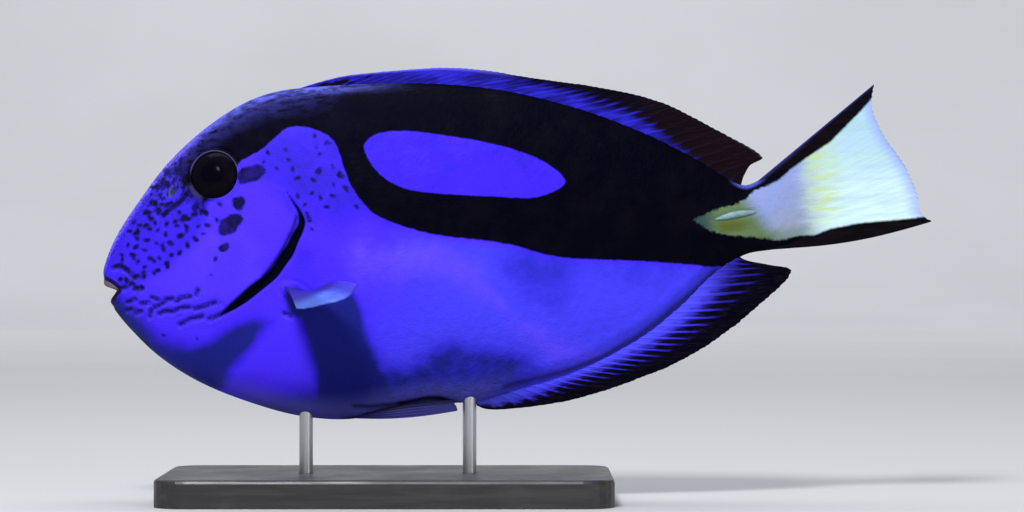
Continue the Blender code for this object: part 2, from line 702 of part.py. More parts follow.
def main():
    clear_scene()
    parts = new_collection("regal_blue_tang")
    cutters = new_collection("cutters")
    pose = bpy.data.objects.new("fish_pose", None)
    pose.location = Vector(SNOUT_PLACE) * MM
    pose.rotation_euler = (0.0, -math.radians(NOSE_DOWN), 0.0)
    parts.objects.link(pose)

    body = whole_body("body", cutters)
    fish = [
        finish_piece(make_head(body, cutters), "head", BLUE, parts),
        finish_piece(make_torso(body, cutters), "torso", BLUE, parts),
        finish_piece(make_tail_base(body, cutters), "caudal_peduncle", YELLOW, parts),
        finish_piece(upright_fin("dorsal", DORSAL_ROOT, back, 1, DORSAL_RIM, DORSAL_RAYS, cutters),
                     "dorsal_fin", FIN_BLUE, parts),
        finish_piece(upright_fin("anal", ANAL_ROOT, belly, -1, ANAL_RIM, ANAL_RAYS, cutters),
                     "anal_fin", FIN_BLUE, parts),
        finish_piece(make_caudal_fin(cutters), "caudal_fin", YELLOW, parts),
    ]
    for word, sign in (("left", -1), ("right", 1)):
        fish += [
            finish_piece(make_gill_cover(body, sign, cutters), "gill_cover_" + word, BLUE, parts),
            finish_piece(eye_shape("eye", sign, 0.0, cutters), "eye_" + word, EYE_BLACK, parts),
            finish_piece(make_pectoral_fin("pectoral", sign, cutters), "pectoral_fin_" + word, PALE_BLUE,
                         parts),
            finish_piece(make_pelvic_fin("pelvic", sign, cutters), "pelvic_fin_" + word, FIN_BLUE, parts),
            finish_piece(spine_shape("spine", sign, 0.0, cutters), "tail_spine_" + word, PALE_BLUE, parts),
        ]
    bpy.data.objects.remove(body, do_unlink=True)
    for item in fish:
        sway(item)
        item.parent = pose

    base = finish_piece(make_base(cutters), "stand_base", BASE_GREY, parts)
    for word, sign in (("front", -1), ("rear", 1)):
        finish_piece(make_rod("rod", sign, cutters), "stand_rod_" + word, STEEL, parts)
        bore_for_rod(bpy.data.objects["torso"], sign, cutters)
    for item in fish + [base]:
        tidy_solid(item)


main()
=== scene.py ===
"""The looks of a life-size regal blue tang on a plain two-rod stand.

The fish is shaped in its own frame, in millimetres: x runs aft from the tip of the snout, z is up and -y is
its left side. One skin covers head, gill covers, trunk and tail base. Markings are stored on the meshes as
signed distances in millimetres, positive inside each marking, and the materials read them.
"""

import math

import bpy
import numpy as np
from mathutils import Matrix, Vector


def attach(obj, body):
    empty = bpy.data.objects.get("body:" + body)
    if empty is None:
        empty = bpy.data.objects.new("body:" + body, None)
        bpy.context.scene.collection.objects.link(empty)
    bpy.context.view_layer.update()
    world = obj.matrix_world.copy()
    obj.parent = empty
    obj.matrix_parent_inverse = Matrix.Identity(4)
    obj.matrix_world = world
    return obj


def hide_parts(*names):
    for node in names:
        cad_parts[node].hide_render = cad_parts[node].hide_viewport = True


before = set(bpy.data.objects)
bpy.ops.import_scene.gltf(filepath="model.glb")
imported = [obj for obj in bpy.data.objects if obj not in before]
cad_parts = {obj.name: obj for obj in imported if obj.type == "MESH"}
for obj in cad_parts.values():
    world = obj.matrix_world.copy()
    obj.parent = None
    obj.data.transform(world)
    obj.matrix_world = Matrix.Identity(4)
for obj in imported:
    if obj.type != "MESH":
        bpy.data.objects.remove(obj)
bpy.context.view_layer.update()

MM = 0.001

# How many points each span of an outline is rounded with
ROUNDING = 5

# Outlines of the body, seen from its left: (x, z) along the back and along the belly
BACK_LINE = ((0.0, 0.8), (1.6, 6.2), (6.3, 13.9), (13.0, 21.9), (23.0, 32.2), (35.6, 41.2), (48.0, 47.0),
             (60.0, 48.9), (91.8, 47.1), (117.6, 42.6), (140.0, 35.0), (160.0, 25.2), (175.7, 15.0),
             (187.0, 6.6), (193.0, 7.6), (200.0, 11.0), (207.0, 14.9))
BELLY_LINE = ((0.0, -1.0), (1.6, -7.6), (6.4, -15.3), (13.6, -23.9), (24.3, -32.5), (38.1, -40.0),
              (52.0, -45.5), (66.2, -48.1), (78.0, -47.0), (90.0, -46.2), (103.0, -47.2), (116.3, -45.1),
              (134.2, -41.5), (152.5, -34.6), (165.0, -27.0), (176.3, -18.2), (185.5, -13.8), (193.0, -13.2),
              (200.0, -13.4), (207.0, -13.2))
HALF_WIDTHS = ((0.0, 1.8), (4.0, 4.2), (12.0, 7.4), (25.0, 10.6), (40.0, 12.9), (60.0, 14.4), (85.0, 14.2),
               (110.0, 12.2), (135.0, 8.9), (160.0, 5.6), (178.0, 4.0), (187.0, 3.2), (193.0, 2.0),
               (200.0, 0.85), (207.0, 0.26))
SECTION_POWER = 1.24
BODY_START = 0.02

# How finely the skin is divided: points round half a ring, then (last station, spacing) along the body
HALF_RING = 168
STATION_SPACING = ((30.0, 0.4), (76.0, 0.5), (207.0, 1.34))

# Mouth, slightly open, with a lip above and below
MOUTH_CORNER = (4.6, -3.3)
UPPER_LIP_FRONT = (1.35, -0.75)
LOWER_LIP_FRONT = (2.75, -6.5)
MOUTH_HALF_WIDTH = 4.0
MOUTH_FRONT_TAPER = 0.12
LIP_RADIUS = 1.4
LIP_END_SHARE = 0.45
LIP_BLUNTNESS = 0.8
LIP_TURN = (62.0, 215.0)
LIP_BACKWARD = (0.93, 0.36)
THROAT = (9.5, 0.0, -3.2)
MOUTH_JOIN = 8.0
MOUTH_CENTRE = (9.0, 0.0, -0.8)
MOUTH_LOOPS = (5, 12, 30)
LIP_FOLD_LOOPS = 7

# Dark line along each lip, and the dark corner of the mouth
LIP_LINES = ((0.85, ((-0.2, 0.45), (1.2, -0.2), (2.2, -0.9), (3.3, -1.9), (3.9, -2.6))),
             (0.8, ((3.9, -3.6), (2.5, -4.6), (1.6, -6.0), (1.4, -7.5), (2.1, -9.3), (3.3, -11.2))),
             (0.45, ((3.1, -11.2), (6.0, -15.2), (11.0, -20.8))))

# Eye, orbit and nostrils
EYE_AT = (35.95, 26.45)
EYE_RADIUS = 7.45
EYE_HALF_DEPTH = 4.4
EYE_SINK = 2.0
EYE_DOME = 0.22
EYE_SIDES = 96
SOCKET_DEPTH = 3.2
ORBIT_PROFILE = ((8.9, -0.7), (8.4, -0.16), (7.9, 0.02), (7.5, 0.12), (7.2, 0.2), (6.95, 0.16),
                 (6.78, -0.02), (6.68, -0.6), (7.1, -1.6), (8.3, -1.4))
ORBIT_LINE = 6.98
NOSTRILS = (((22.9, 23.4), (0.75, 1.35)), ((25.7, 25.0), (0.35, 0.6)))
NOSTRIL_TILT = 62.0

# Gill opening: the free rear edge of the cover, the edge of the shoulder behind it, three places ahead of
# the edge that close an outline of the cover, and the fold along it
COVER_EDGE = ((55.4, 20.0), (56.5, 16.9), (57.9, 13.8), (58.3, 11.8), (57.7, 9.5), (55.6, 6.8),
              (53.9, 4.1), (51.5, 1.4), (49.2, -1.5), (46.6, -3.8), (41.9, -6.5), (38.1, -9.3),
              (34.9, -11.6), (32.2, -14.2))
SHOULDER_EDGE = ((33.7, -13.8), (37.1, -12.7), (40.8, -10.9), (45.0, -8.3), (49.7, -5.2), (52.8, -1.9),
                 (55.4, 1.0), (57.2, 4.3), (59.0, 7.3), (60.0, 10.1), (59.4, 12.8), (58.5, 14.7),
                 (57.0, 17.2))
COVER_FRONT = ((30.0, -20.0), (10.0, 0.0), (48.0, 24.0))
COVER_FOLD = ((57.7, 11.9), (56.5, 9.1), (54.6, 6.2), (52.7, 3.1), (50.4, 0.2), (48.2, -2.2),
              (46.2, -4.2))

# Creases of the cheek and chin, each a short line in side view
CREASES = (((6.2, -6.9), (8.3, -6.6)), ((9.9, -8.1), (12.2, -8.0)), ((13.2, -6.7), (14.9, -7.5)),
           ((15.9, -8.8), (17.6, -7.6), (19.2, -7.7)), ((20.2, -8.6), (21.9, -7.6), (24.4, -7.6)),
           ((14.9, -11.5), (16.8, -11.0), (18.8, -11.4), (21.0, -10.6), (23.6, -10.7)),
           ((25.3, -11.3), (27.6, -11.0), (31.4, -10.1)), ((20.4, -15.3), (24.1, -14.1), (27.2, -13.8)),
           ((29.3, -14.7), (33.8, -13.4)), ((12.0, -12.0), (12.7, -10.1)), ((8.2, -10.4), (9.6, -10.2)),
           ((5.8, -9.2), (6.9, -9.1)), ((13.6, -9.6), (15.3, -9.0)), ((26.2, -7.3), (26.8, -5.9)),
           ((9.0, -3.4), (10.7, -3.6)), ((3.3, 3.5), (5.4, 3.6), (7.2, 1.9), (8.7, -0.3)),
           ((4.4, -2.9), (6.6, -2.5), (7.9, -1.9)),
           ((50.9, -15.4), (52.6, -16.4)))
CREASE_WIDTH = 0.63
CREASE_DEPTH = 0.55
WRINKLES = ((4.0, -6.0), (9.0, -5.6), (14.0, -5.2), (20.0, -6.2), (28.0, -5.6), (35.0, -8.2), (38.0, -13.6),
            (30.0, -17.6), (20.0, -17.8), (12.0, -13.6), (6.0, -10.6))

# Relief of the skin: how high or deep its forms are, how far the lip of a crease lies below it, and the
# turn of the muscle blocks' wave in radians a mm
ORBIT_SWELL = 0.15
COVER_RISE = 0.55
OPENING_DEPTH = 1.5
SHOULDER_RISE = 0.25
FOLD_DEPTH = 0.35
BREAST_RISE = 0.8
BELLY_FALL = 0.5
CREASE_LIP = 0.16
CREASE_LIP_DROP = 1.0
NOSTRIL_RIM = 0.2
NOSTRIL_DEPTH = 0.9
LOBE_GROOVE = 0.3
SPINE_GROOVE = 0.2
SPINE_SHEATH = 0.08
PELVIC_GROOVE = 0.5
ANAL_BASE_RISE = 0.18
MUSCLE_RISE = 0.06
MUSCLE_TURN = 1.15

# Swellings and hollows of the skin as (x, z, reach along, reach up, height), and the swollen breast
SWELLINGS = ((46.0, 18.0, 7.0, 6.0, -0.35), (30.0, 1.0, 12.0, 12.0, 0.45), (66.0, 6.0, 8.0, 16.0, 0.5))
BREAST = ((55.5, -15.0), (44.5, -19.7), (36.9, -24.6), (32.1, -31.1), (35.2, -34.1), (50.0, -37.8),
          (58.0, -38.7), (57.0, -24.0))

# Root of each pectoral fin: a fleshy lobe
LOBE_AT = (55.75, -10.0)
LOBE_SIZE = (2.6, 2.4, 5.0)
LOBE_TILT = 54.0
LOBE_SINK = 0.6

# Folded spine of the tail base
SPINE_AT = (184.3, -2.2)
SPINE_HALF_SIZE = (6.0, 0.9, 0.95)
SPINE_RISE = 0.07

# Markings in side view: the black band, the blue oval in it and the pale field of the tail
BAND_EDGE = ((45.2, 66.0), (45.2, 50.0), (39.6, 43.4), (32.4, 38.0), (27.4, 32.5), (25.6, 27.0),
             (26.2, 22.8), (28.4, 20.6), (30.0, 19.3), (31.1, 17.1), (32.2, 18.8), (34.2, 19.8),
             (38.2, 21.4), (40.8, 24.0), (42.0, 27.4), (43.2, 29.6), (49.8, 32.5), (54.9, 36.0),
             (58.2, 37.9), (62.6, 37.7), (67.1, 35.8), (70.6, 33.0), (72.0, 29.0), (74.1, 19.9),
             (78.4, 12.1), (83.6, 8.0), (91.2, 4.3), (99.7, 1.5), (108.0, -0.4), (118.5, -3.1),
             (132.1, -8.3), (155.1, -12.1), (174.0, -15.8), (181.0, -19.0), (190.0, -40.0),
             (240.0, -40.0), (240.0, 66.0))
OVAL = ((79.4, 28.6), (80.6, 31.8), (85.0, 33.4), (93.6, 32.8), (104.4, 30.1), (115.7, 26.8), (125.5, 22.8),
        (132.8, 18.1), (136.2, 13.6), (133.6, 11.2), (126.3, 9.7), (114.0, 11.5), (96.8, 14.5), (88.4, 17.2),
        (82.4, 22.2))
PALE_FIELD = ((171.7, -1.9), (175.3, -0.7), (179.9, 0.5), (184.3, 1.1), (187.3, 2.2), (190.5, 4.6),
              (195.0, 5.7), (198.1, 6.8), (201.3, 9.2), (207.5, 12.8), (213.7, 15.9), (220.1, 21.0),
              (223.3, 23.6), (227.6, 27.5), (245.0, 40.0), (260.0, -8.8), (231.3, -8.7), (219.7, -8.4),
              (210.9, -9.1), (206.3, -10.4), (202.0, -10.0), (196.1, -10.7), (190.4, -9.4), (184.7, -8.2),
              (179.0, -7.0), (175.5, -5.2))

# Dark spots: patches behind the eye, then dots of the snout, the cheek and the shoulder as (x, z, radius)
PATCHES = (((42.2, 26.7), (44.6, 27.9), (47.6, 28.2), (49.3, 27.8), (50.3, 26.1), (48.0, 24.0), (44.7, 23.4),
            (42.4, 23.4)),
           ((39.8, 19.1), (41.0, 19.6), (42.8, 19.4), (43.2, 17.8), (42.4, 16.2), (41.2, 15.6), (40.1, 16.4),
            (39.7, 17.7)),
           ((35.8, 13.4), (37.8, 14.2), (39.0, 14.8), (41.3, 14.5), (42.2, 13.0), (41.0, 11.7), (39.6, 9.8),
            (37.8, 8.9), (35.6, 9.0), (34.7, 10.3), (35.2, 12.0)),
           ((35.2, 6.2), (36.7, 6.8), (37.4, 5.7), (36.4, 4.4), (35.0, 4.2), (34.2, 5.4)))
SPOTS = ((30.3, 10.0, 0.5), (27.9, 8.8, 0.75), (25.4, 7.3, 0.8), (22.8, 5.3, 0.7), (23.6, 10.2, 0.9),
         (20.5, 8.5, 0.8), (18.3, 7.1, 0.85), (18.1, 8.0, 0.6), (20.4, 5.0, 0.6), (14.2, 4.7, 0.8),
         (15.1, 3.9, 0.6), (18.9, 1.9, 0.75), (18.8, 2.9, 0.65), (15.9, 1.0, 0.75), (14.7, 0.4, 0.55),
         (11.7, -0.2, 0.8), (11.7, 1.0, 0.65), (13.7, 10.1, 0.7), (16.5, 8.9, 0.5), (19.4, 11.2, 0.65),
         (17.2, 12.6, 0.55), (13.9, 14.3, 0.8), (14.8, 13.3, 0.65), (16.6, 15.0, 0.6), (20.0, 14.1, 0.7),
         (22.5, 14.5, 0.7), (22.9, 13.2, 0.6), (25.7, 12.7, 0.65), (25.7, 11.6, 0.55), (29.1, 12.4, 0.55),
         (31.8, 12.4, 0.8), (31.6, 16.0, 0.95), (30.4, 16.4, 0.7), (25.2, 15.3, 1.1), (26.4, 14.9, 0.8),
         (23.9, 17.2, 0.55), (18.1, 18.1, 1.0), (14.3, 18.2, 0.9), (15.2, 17.9, 0.7), (15.6, 16.2, 0.8),
         (15.2, 16.9, 0.6), (10.4, 4.1, 0.6), (12.2, 2.4, 0.6), (9.2, 6.3, 0.8), (9.4, 5.5, 0.6),
         (8.1, 9.3, 0.6), (10.3, 8.5, 0.7), (12.8, 7.3, 0.55), (16.9, 4.5, 0.45), (11.3, 12.9, 0.8),
         (10.5, 12.4, 0.6), (9.0, 13.3, 0.6), (10.9, 11.0, 0.6), (6.6, -0.7, 0.75), (4.8, -0.3, 0.65),
         (9.8, 0.1, 0.7), (9.0, -0.3, 0.6), (10.7, -3.5, 0.7), (28.9, 18.0, 1.2), (28.3, 16.0, 0.9),
         (22.1, 20.0, 0.6), (17.4, 20.4, 0.9), (16.2, 21.0, 0.75), (20.6, 19.5, 0.95), (19.2, 19.8, 0.8),
         (6.0, 6.6, 0.6), (6.1, 5.4, 0.5), (10.5, 15.7, 0.6), (12.2, 14.6, 0.55), (21.4, 25.4, 1.1),
         (20.4, 26.4, 1.0), (18.4, 25.3, 0.75), (17.2, 25.1, 0.65), (22.0, 29.0, 1.1), (24.6, 29.0, 1.2),
         (21.8, 22.9, 0.8), (19.0, 22.8, 0.6), (35.8, 18.1, 0.75), (34.5, 13.6, 0.55), (33.0, 2.4, 0.65),
         (31.3, -2.1, 0.35), (15.5, -17.8, 0.4), (24.9, -19.8, 0.35), (65.5, 34.6, 0.55),
         (68.8, 32.4, 0.7), (69.5, 32.0, 0.5), (56.7, 31.5, 0.45), (65.7, 31.3, 0.4), (66.4, 29.2, 0.55),
         (57.2, 28.5, 0.5), (53.5, 26.6, 0.45), (58.1, 25.8, 0.65), (65.5, 24.3, 0.95), (59.2, 23.0, 0.7),
         (63.8, 21.9, 0.7), (69.7, 25.3, 0.45), (71.4, 22.7, 0.85), (72.3, 22.0, 0.6), (72.7, 18.8, 0.7),
         (72.9, 18.0, 0.5), (69.4, 19.8, 0.45), (62.8, 18.2, 0.5), (68.7, 16.7, 0.7), (65.2, 16.5, 0.6),
         (58.7, 17.8, 0.7), (60.4, 15.0, 0.55), (66.7, 13.7, 0.6), (75.3, 12.7, 0.6), (60.7, 12.6, 0.6),
         (61.2, 11.4, 0.6), (61.4, 10.3, 0.5), (61.6, 7.9, 0.45), (51.5, 31.5, 0.65), (50.0, 28.8, 0.45))
# Each dot is an oval, turned by this angle from the one before
SPOT_TURN = 2.4
SPOT_STRETCH = 1.22
# Short dark streaks of the snout and forehead as (half width, line)
STREAKS = ((0.75, ((26.6, 21.8), (25.1, 20.6), (23.2, 19.1), (21.3, 18.2), (19.4, 16.8))),
           (0.55, ((3.9, 3.6), (5.5, 3.5), (7.2, 2.3))),
           (0.6, ((8.3, -1.8), (8.5, -3.2), (9.2, -4.2))),
           (0.8, ((26.0, 24.2), (26.8, 26.6), (25.6, 29.2), (26.4, 32.0))))

# Broad tones of the blue ground as (outline, softness, amount): below 0 deeper, above 0 lighter. The throat,
# gorge, belly and axil tones are painted shade, the two fin tones a painted shadow of the pectoral fin, and
# the cheek and flank tones painted light; the rest deepen the blue
SNOUT_TONE = ((-2.0, 1.0), (6.6, -3.4), (13.3, -0.9), (20.1, 2.4), (25.8, 6.4), (30.2, 11.7), (32.3, 17.3),
              (30.3, 24.0), (24.0, 36.0), (2.0, 22.5))
CHEEK_PAINTED_LIGHT = ((13.2, -2.1), (20.6, 1.6), (27.0, 6.2), (31.5, 12.0), (42.0, 10.0), (48.0, 4.0), (43.0, -6.0),
              (35.0, -9.4), (25.0, -8.0), (15.6, -6.4))
THROAT_PAINTED_SHADE = ((-1.0, -3.7), (4.9, -5.0), (7.6, -8.2), (10.2, -12.2), (14.0, -17.4), (18.2, -20.2),
               (22.8, -21.8), (27.2, -21.6), (32.0, -19.6), (36.6, -17.0), (44.0, -16.2), (47.5, -17.4),
               (41.4, -22.5), (33.4, -29.4), (31.5, -34.4), (26.0, -44.0), (-4.0, -17.5))
GORGE_PAINTED_SHADE = ((24.0, -24.0), (33.0, -20.6), (42.0, -18.0), (41.4, -22.5), (33.4, -29.4), (31.5, -34.4),
              (26.0, -32.0), (20.0, -26.0))
BELLY_PAINTED_SHADE = ((63.0, -37.6), (78.0, -38.6), (85.0, -34.6), (92.0, -30.6), (98.5, -29.6), (106.0, -32.4),
              (118.6, -34.4), (122.6, -36.6), (123.0, -40.6), (111.0, -46.0), (95.0, -50.0), (60.0, -52.0),
              (36.0, -50.0), (44.0, -40.0))
FIN_PAINTED_SHADOW = ((54.0, -12.0), (55.7, -20.9), (57.4, -28.7), (58.6, -37.0), (60.0, -45.0), (78.0, -44.0),
                  (76.4, -37.0), (74.8, -31.2), (73.0, -23.1), (71.8, -15.0), (70.8, -9.0))
AXIL_PAINTED_SHADE = ((50.8, -11.0), (52.6, -7.9), (55.6, -7.6), (58.6, -10.6), (57.6, -14.6), (55.0, -16.4),
             (52.6, -16.0))
FLANK_PAINTED_LIGHT = ((70.0, 3.0), (87.1, 4.0), (98.3, 0.0), (108.9, -7.2), (118.9, -22.3), (140.1, -38.8),
              (124.6, -38.8), (110.4, -18.8), (95.5, -9.3), (74.0, -8.0))
SHOULDER_TONE = ((45.0, 27.0), (52.0, 36.0), (62.0, 42.0), (76.0, 33.0), (79.0, 12.0), (70.0, 5.0),
                 (60.0, 12.0), (52.0, 21.0))
OPENING_TONE = ((57.0, 3.7), (62.6, 1.6), (60.1, -5.4), (54.4, -3.9))
OVAL_TONE = ((74.0, 42.0), (142.0, 42.0), (142.0, 2.0), (80.0, 2.0))
REAR_TONE = ((113.0, 0.0), (140.0, -6.0), (172.0, -12.0), (164.0, -22.0), (146.0, -19.0), (122.0, -13.0))
FIN_PAINTED_SHADOW_REAR = ((70.0, -12.0), (74.0, -17.0), (79.0, -29.0), (83.0, -38.0), (76.0, -40.0), (71.0, -24.0))
MIDDLE_TONE = ((113.0, -5.0), (134.0, -9.0), (136.0, -20.0), (128.0, -27.0), (119.0, -23.0),
               (112.0, -12.0))
PAINTED_LIGHT_SHADE_AND_TONES = ((SNOUT_TONE, 1.6, -0.55), (CHEEK_PAINTED_LIGHT, 3.0, 0.25), (THROAT_PAINTED_SHADE, 4.4, -1.0),
         (GORGE_PAINTED_SHADE, 3.0, -0.35), (BELLY_PAINTED_SHADE, 4.5, -0.85), (FIN_PAINTED_SHADOW, 2.6, -1.1),
         (AXIL_PAINTED_SHADE, 1.4, -1.0), (FLANK_PAINTED_LIGHT, 7.0, 0.65), (SHOULDER_TONE, 6.0, -0.6),
         (OPENING_TONE, 2.5, -0.4), (OVAL_TONE, 6.0, -0.45), (REAR_TONE, 4.0, -0.3),
         (MIDDLE_TONE, 5.0, -0.4), (FIN_PAINTED_SHADOW_REAR, 3.6, -0.4))

# Grey line of painted shade above the base of the anal fin, and the painted shade of the fold above each
# pelvic fin
ANAL_SHADE = ((112.0, -44.0), (122.4, -42.4), (128.3, -41.6), (140.3, -38.8), (152.5, -33.6), (158.8, -29.8),
              (165.1, -25.5), (171.4, -21.6), (176.3, -17.4))
PELVIC_FOLD = ((68.1, -45.0), (72.4, -45.8), (76.7, -46.0), (81.1, -45.9), (87.0, -45.4), (90.0, -45.2),
               (93.5, -45.8), (97.5, -47.6))

# Fins of the back, belly and tail: rays, span of the root and outline of the free rim
DORSAL_RAYS = 38
DORSAL_ROOT = (61.5, 186.4)
DORSAL_RIM = ((61.8, 48.75), (69.0, 50.1), (77.0, 51.0), (92.0, 50.8), (104.0, 50.2), (116.0, 48.2),
              (130.0, 44.3), (149.0, 39.4), (166.0, 33.4), (182.0, 23.2), (194.3, 13.9), (190.4, 12.0),
              (188.0, 9.0))
ANAL_RAYS = 30
ANAL_ROOT = (103.2, 183.6)
ANAL_RIM = ((103.4, -48.5), (106.4, -49.9), (114.0, -50.5), (127.4, -50.3), (139.2, -48.7), (151.2, -46.0),
            (163.3, -42.5), (175.6, -36.9), (188.2, -29.0), (199.1, -20.1), (192.4, -17.4), (185.0, -15.3))
# How the rays of both lean back, as (share along the root, share along the rim)
FOLDED_LEAN = ((0.0, 0.0), (0.12, 0.2), (0.3, 0.38), (0.5, 0.55), (0.77, 0.79), (1.0, 1.0))
CAUDAL_RAYS = 16
CAUDAL_START = 193.0
CAUDAL_ROOT = (7.2, -12.9)
CAUDAL_RIM = ((229.4, 31.6), (228.0, 26.5), (228.4, 22.0), (230.5, 16.0), (235.4, 7.3), (238.3, -1.4),
              (238.8, -7.6), (241.8, -10.3))
CAUDAL_LOWER_BOW = 1.9
FIN_SINK = 1.6

# Ridges along a fin's rays: their reach in shares of the gap between rays, the height of an unforked ray's
# ridge, where along itself a ray forks, the depth of its joints, and how much of a fin is left at its rim
RIDGE_REACH = 0.12
RIM_RIDGE_REACH = 0.13
STEM_REACH = 0.1
STEM_SHARE = 0.35
FORK_SPAN = (0.35, 0.95)
JOINT_DEPTH = 0.1
RIM_THINNING = 0.55

# Paired fins: angles outwards and downwards and lengths, each from the first ray to the last
PECTORAL_RAYS = 16
PECTORAL_ROOT = ((52.7, -7.8), (58.8, -12.2))
PECTORAL_SWEEP = ((0.0, 8.0), (0.5, 17.0), (0.85, 33.0), (1.0, 41.0))
PECTORAL_DROOP = ((0.0, 11.0), (0.5, 6.6), (0.75, 3.4), (1.0, -6.5))
PECTORAL_LENGTHS = ((0.0, 34.0), (0.15, 36.0), (0.5, 34.0), (0.85, 28.0), (1.0, 24.0))
PECTORAL_ARCH = (1.2, 2.6)
PECTORAL_STANDOFF = 0.2
PELVIC_RAYS = 6
PELVIC_ROOT = (63.4, 68.6)
PELVIC_TIPS = ((98.0, -49.2), (97.2, -46.0))
PELVIC_OUT = 1.7
PELVIC_BOW = (-1.2, 1.2)

# The tail sweeps to the fish's right; the whole fish swims slightly nose down above its base
SWAY_START = 108.0
SWAY_AT_TIP = 9.0
TOTAL_LENGTH = 240.8
SNOUT_PLACE = (-82.4, 0.0, 63.8)
NOSE_DOWN = math.radians(6.5)

# Camera: a level side view that spans this width at the fish's middle plane
VIEW_CENTRE = (36.0, 70.8)
VIEW_WIDTH = 297.0
VIEW_DISTANCE = 1100.0

# Floor from front to back, in metres, the radius and steps of the curve up into the backdrop, the height of
# the backdrop and half the width of both
FLOOR_FRONT = -3.4
FLOOR_BACK = 2.6
COVE_RADIUS = 1.2
COVE_STEPS = 24
BACKDROP_TOP = 3.4
STAGE_REACH = 3.2


def mix(a, b, share):
    """The value that lies the given share of the way from a to b."""
    return a + (b - a) * share


def step(low, high, value):
    """0 below low, 1 above high and a smooth rise between them."""
    share = np.clip((value - low) / (high - low), 0.0, 1.0)
    return share * share * (3 - 2 * share)


def unit(vectors):
    """The vectors scaled to length 1."""
    return vectors / np.maximum(np.linalg.norm(vectors, axis=-1, keepdims=True), 1e-9)


def bell(distance, reach):
    """1 at a distance of 0, falling smoothly to nearly 0 at twice the reach."""
    return np.exp(-(distance / reach) ** 2)


def turned(x, z, centre, angle):
    """How far each place lies from a centre, along a direction and across it."""
    c, s = math.cos(angle), math.sin(angle)
    return (x - centre[0]) * c + (z - centre[1]) * s, (z - centre[1]) * c - (x - centre[0]) * s


def curve(points):
    """A smooth function through (t, value) points, made of cubic Hermite spans; it takes arrays."""
    knots = np.array([p[0] for p in points])
    values = np.array([p[1] for p in points])
    last = len(points) - 1
    before = np.maximum(np.arange(last + 1) - 1, 0)
    after = np.minimum(np.arange(last + 1) + 1, last)
    slopes = (values[after] - values[before]) / (knots[after] - knots[before])

    def value(t):
        t = np.asarray(t, float)
        i = np.clip(np.searchsorted(knots, t) - 1, 0, last - 1)
        span = knots[i + 1] - knots[i]
        f = np.clip((t - knots[i]) / span, 0.0, 1.0)
        start = (1 + 2 * f) * (1 - f) ** 2 * values[i] + f * (1 - f) ** 2 * span * slopes[i]
        end = f * f * (3 - 2 * f) * values[i + 1] + f * f * (f - 1) * span * slopes[i + 1]
        return start + end

    return value


def path(points):
    """A smooth path through (x, z) points as a function of the share of its length, from 0 to 1."""
    lengths = [math.dist(a, b) for a, b in zip(points, points[1:])]
    run = np.concatenate(([0.0], np.cumsum(lengths))) / sum(lengths)
    across = curve([(r, p[0]) for r, p in zip(run, points)])
    up = curve([(r, p[1]) for r, p in zip(run, points)])
    return lambda t: (across(t), up(t))


def by_station(points):
    """A smooth function of x that follows the blunt snout, where lines run as the root of x."""
    rooted = curve([(math.sqrt(x), value) for x, value in points])
    return lambda x: rooted(np.sqrt(np.maximum(x, 0.0)))


back = by_station(BACK_LINE)
belly = by_station(BELLY_LINE)
half_width = by_station(HALF_WIDTHS)


def middle_height(x):
    """The height of the body's middle line at a station, and half of the body's depth."""
    return (back(x) + belly(x)) / 2, (back(x) - belly(x)) / 2


def body_point(x, angle):
    """A point of the body at a station and an angle, which runs from 0 on the back to pi on the belly."""
    middle, height = middle_height(x)
    y = np.sign(np.sin(angle)) * np.abs(np.sin(angle)) ** SECTION_POWER * half_width(x)
    return np.stack([x + 0 * angle, y, middle + height * np.cos(angle)], axis=-1)


def side(x, z):
    """How far the skin stands from the middle plane at a place on the side of the body."""
    middle, height = middle_height(x)
    share = np.minimum(np.abs(z - middle) / height, 1.0)
    return half_width(x) * (1 - share * share) ** (SECTION_POWER / 2)


def side_normal(x, z):
    """The outward direction of the skin at a place on the fish's right side."""
    reach = 0.5
    along = (side(x + reach, z) - side(x - reach, z)) / (2 * reach)
    up = (side(x, z + reach) - side(x, z - reach)) / (2 * reach)
    return unit(np.stack([-along, np.ones_like(along), -up], axis=-1))


def rounded(points):
    """More points, along a smooth closed line through the given ones."""
    count = len(points)
    line = []
    for i in range(count):
        around = [points[(i + k) % count] for k in (-1, 0, 1, 2)]
        for k in range(ROUNDING):
            t = k / ROUNDING
            line.append(tuple(
                b + t / 2 * (c - a + t * (2 * a - 5 * b + 4 * c - d + t * (3 * b - a - 3 * c + d)))
                for a, b, c, d in zip(*around)))
    return line


def line_distance(x, z, line, closed=False):
    """Distance in side view from each place to a line of (x, z) points."""
    ends = list(line[1:]) + ([line[0]] if closed else [])
    nearest = np.full(np.shape(x), 1e9)
    for (x0, z0), (x1, z1) in zip(line, ends):
        dx, dz = x1 - x0, z1 - z0
        share = np.clip(((x - x0) * dx + (z - z0) * dz) / (dx * dx + dz * dz), 0.0, 1.0)
        nearest = np.minimum(nearest, np.hypot(x - x0 - share * dx, z - z0 - share * dz))
    return nearest


def inside_distance(x, z, outline):
    """Signed distance in side view to an outline, positive inside it."""
    inside = np.zeros(np.shape(x), bool)
    for (x0, z0), (x1, z1) in zip(outline, list(outline[1:]) + [outline[0]]):
        if z0 != z1:
            crosses = (z0 > z) != (z1 > z)
            inside ^= crosses & (x < (x1 - x0) * (z - z0) / (z1 - z0) + x0)
    distance = line_distance(x, z, outline, closed=True)
    return np.where(inside, distance, -distance)


def spot_distance(x, z):
    """Signed distance to the nearest dark spot or patch, positive inside it."""
    best = np.full(np.shape(x), -9.0)
    for patch in PATCHES:
        best = np.maximum(best, inside_distance(x, z, rounded(patch)))
    for i, (sx, sz, radius) in enumerate(SPOTS):
        u, v = turned(x, z, (sx, sz), SPOT_TURN * i)
        best = np.maximum(best, radius - np.hypot(u / SPOT_STRETCH, v * SPOT_STRETCH))
    for width, streak in STREAKS:
        best = np.maximum(best, width - line_distance(x, z, streak))
    return best


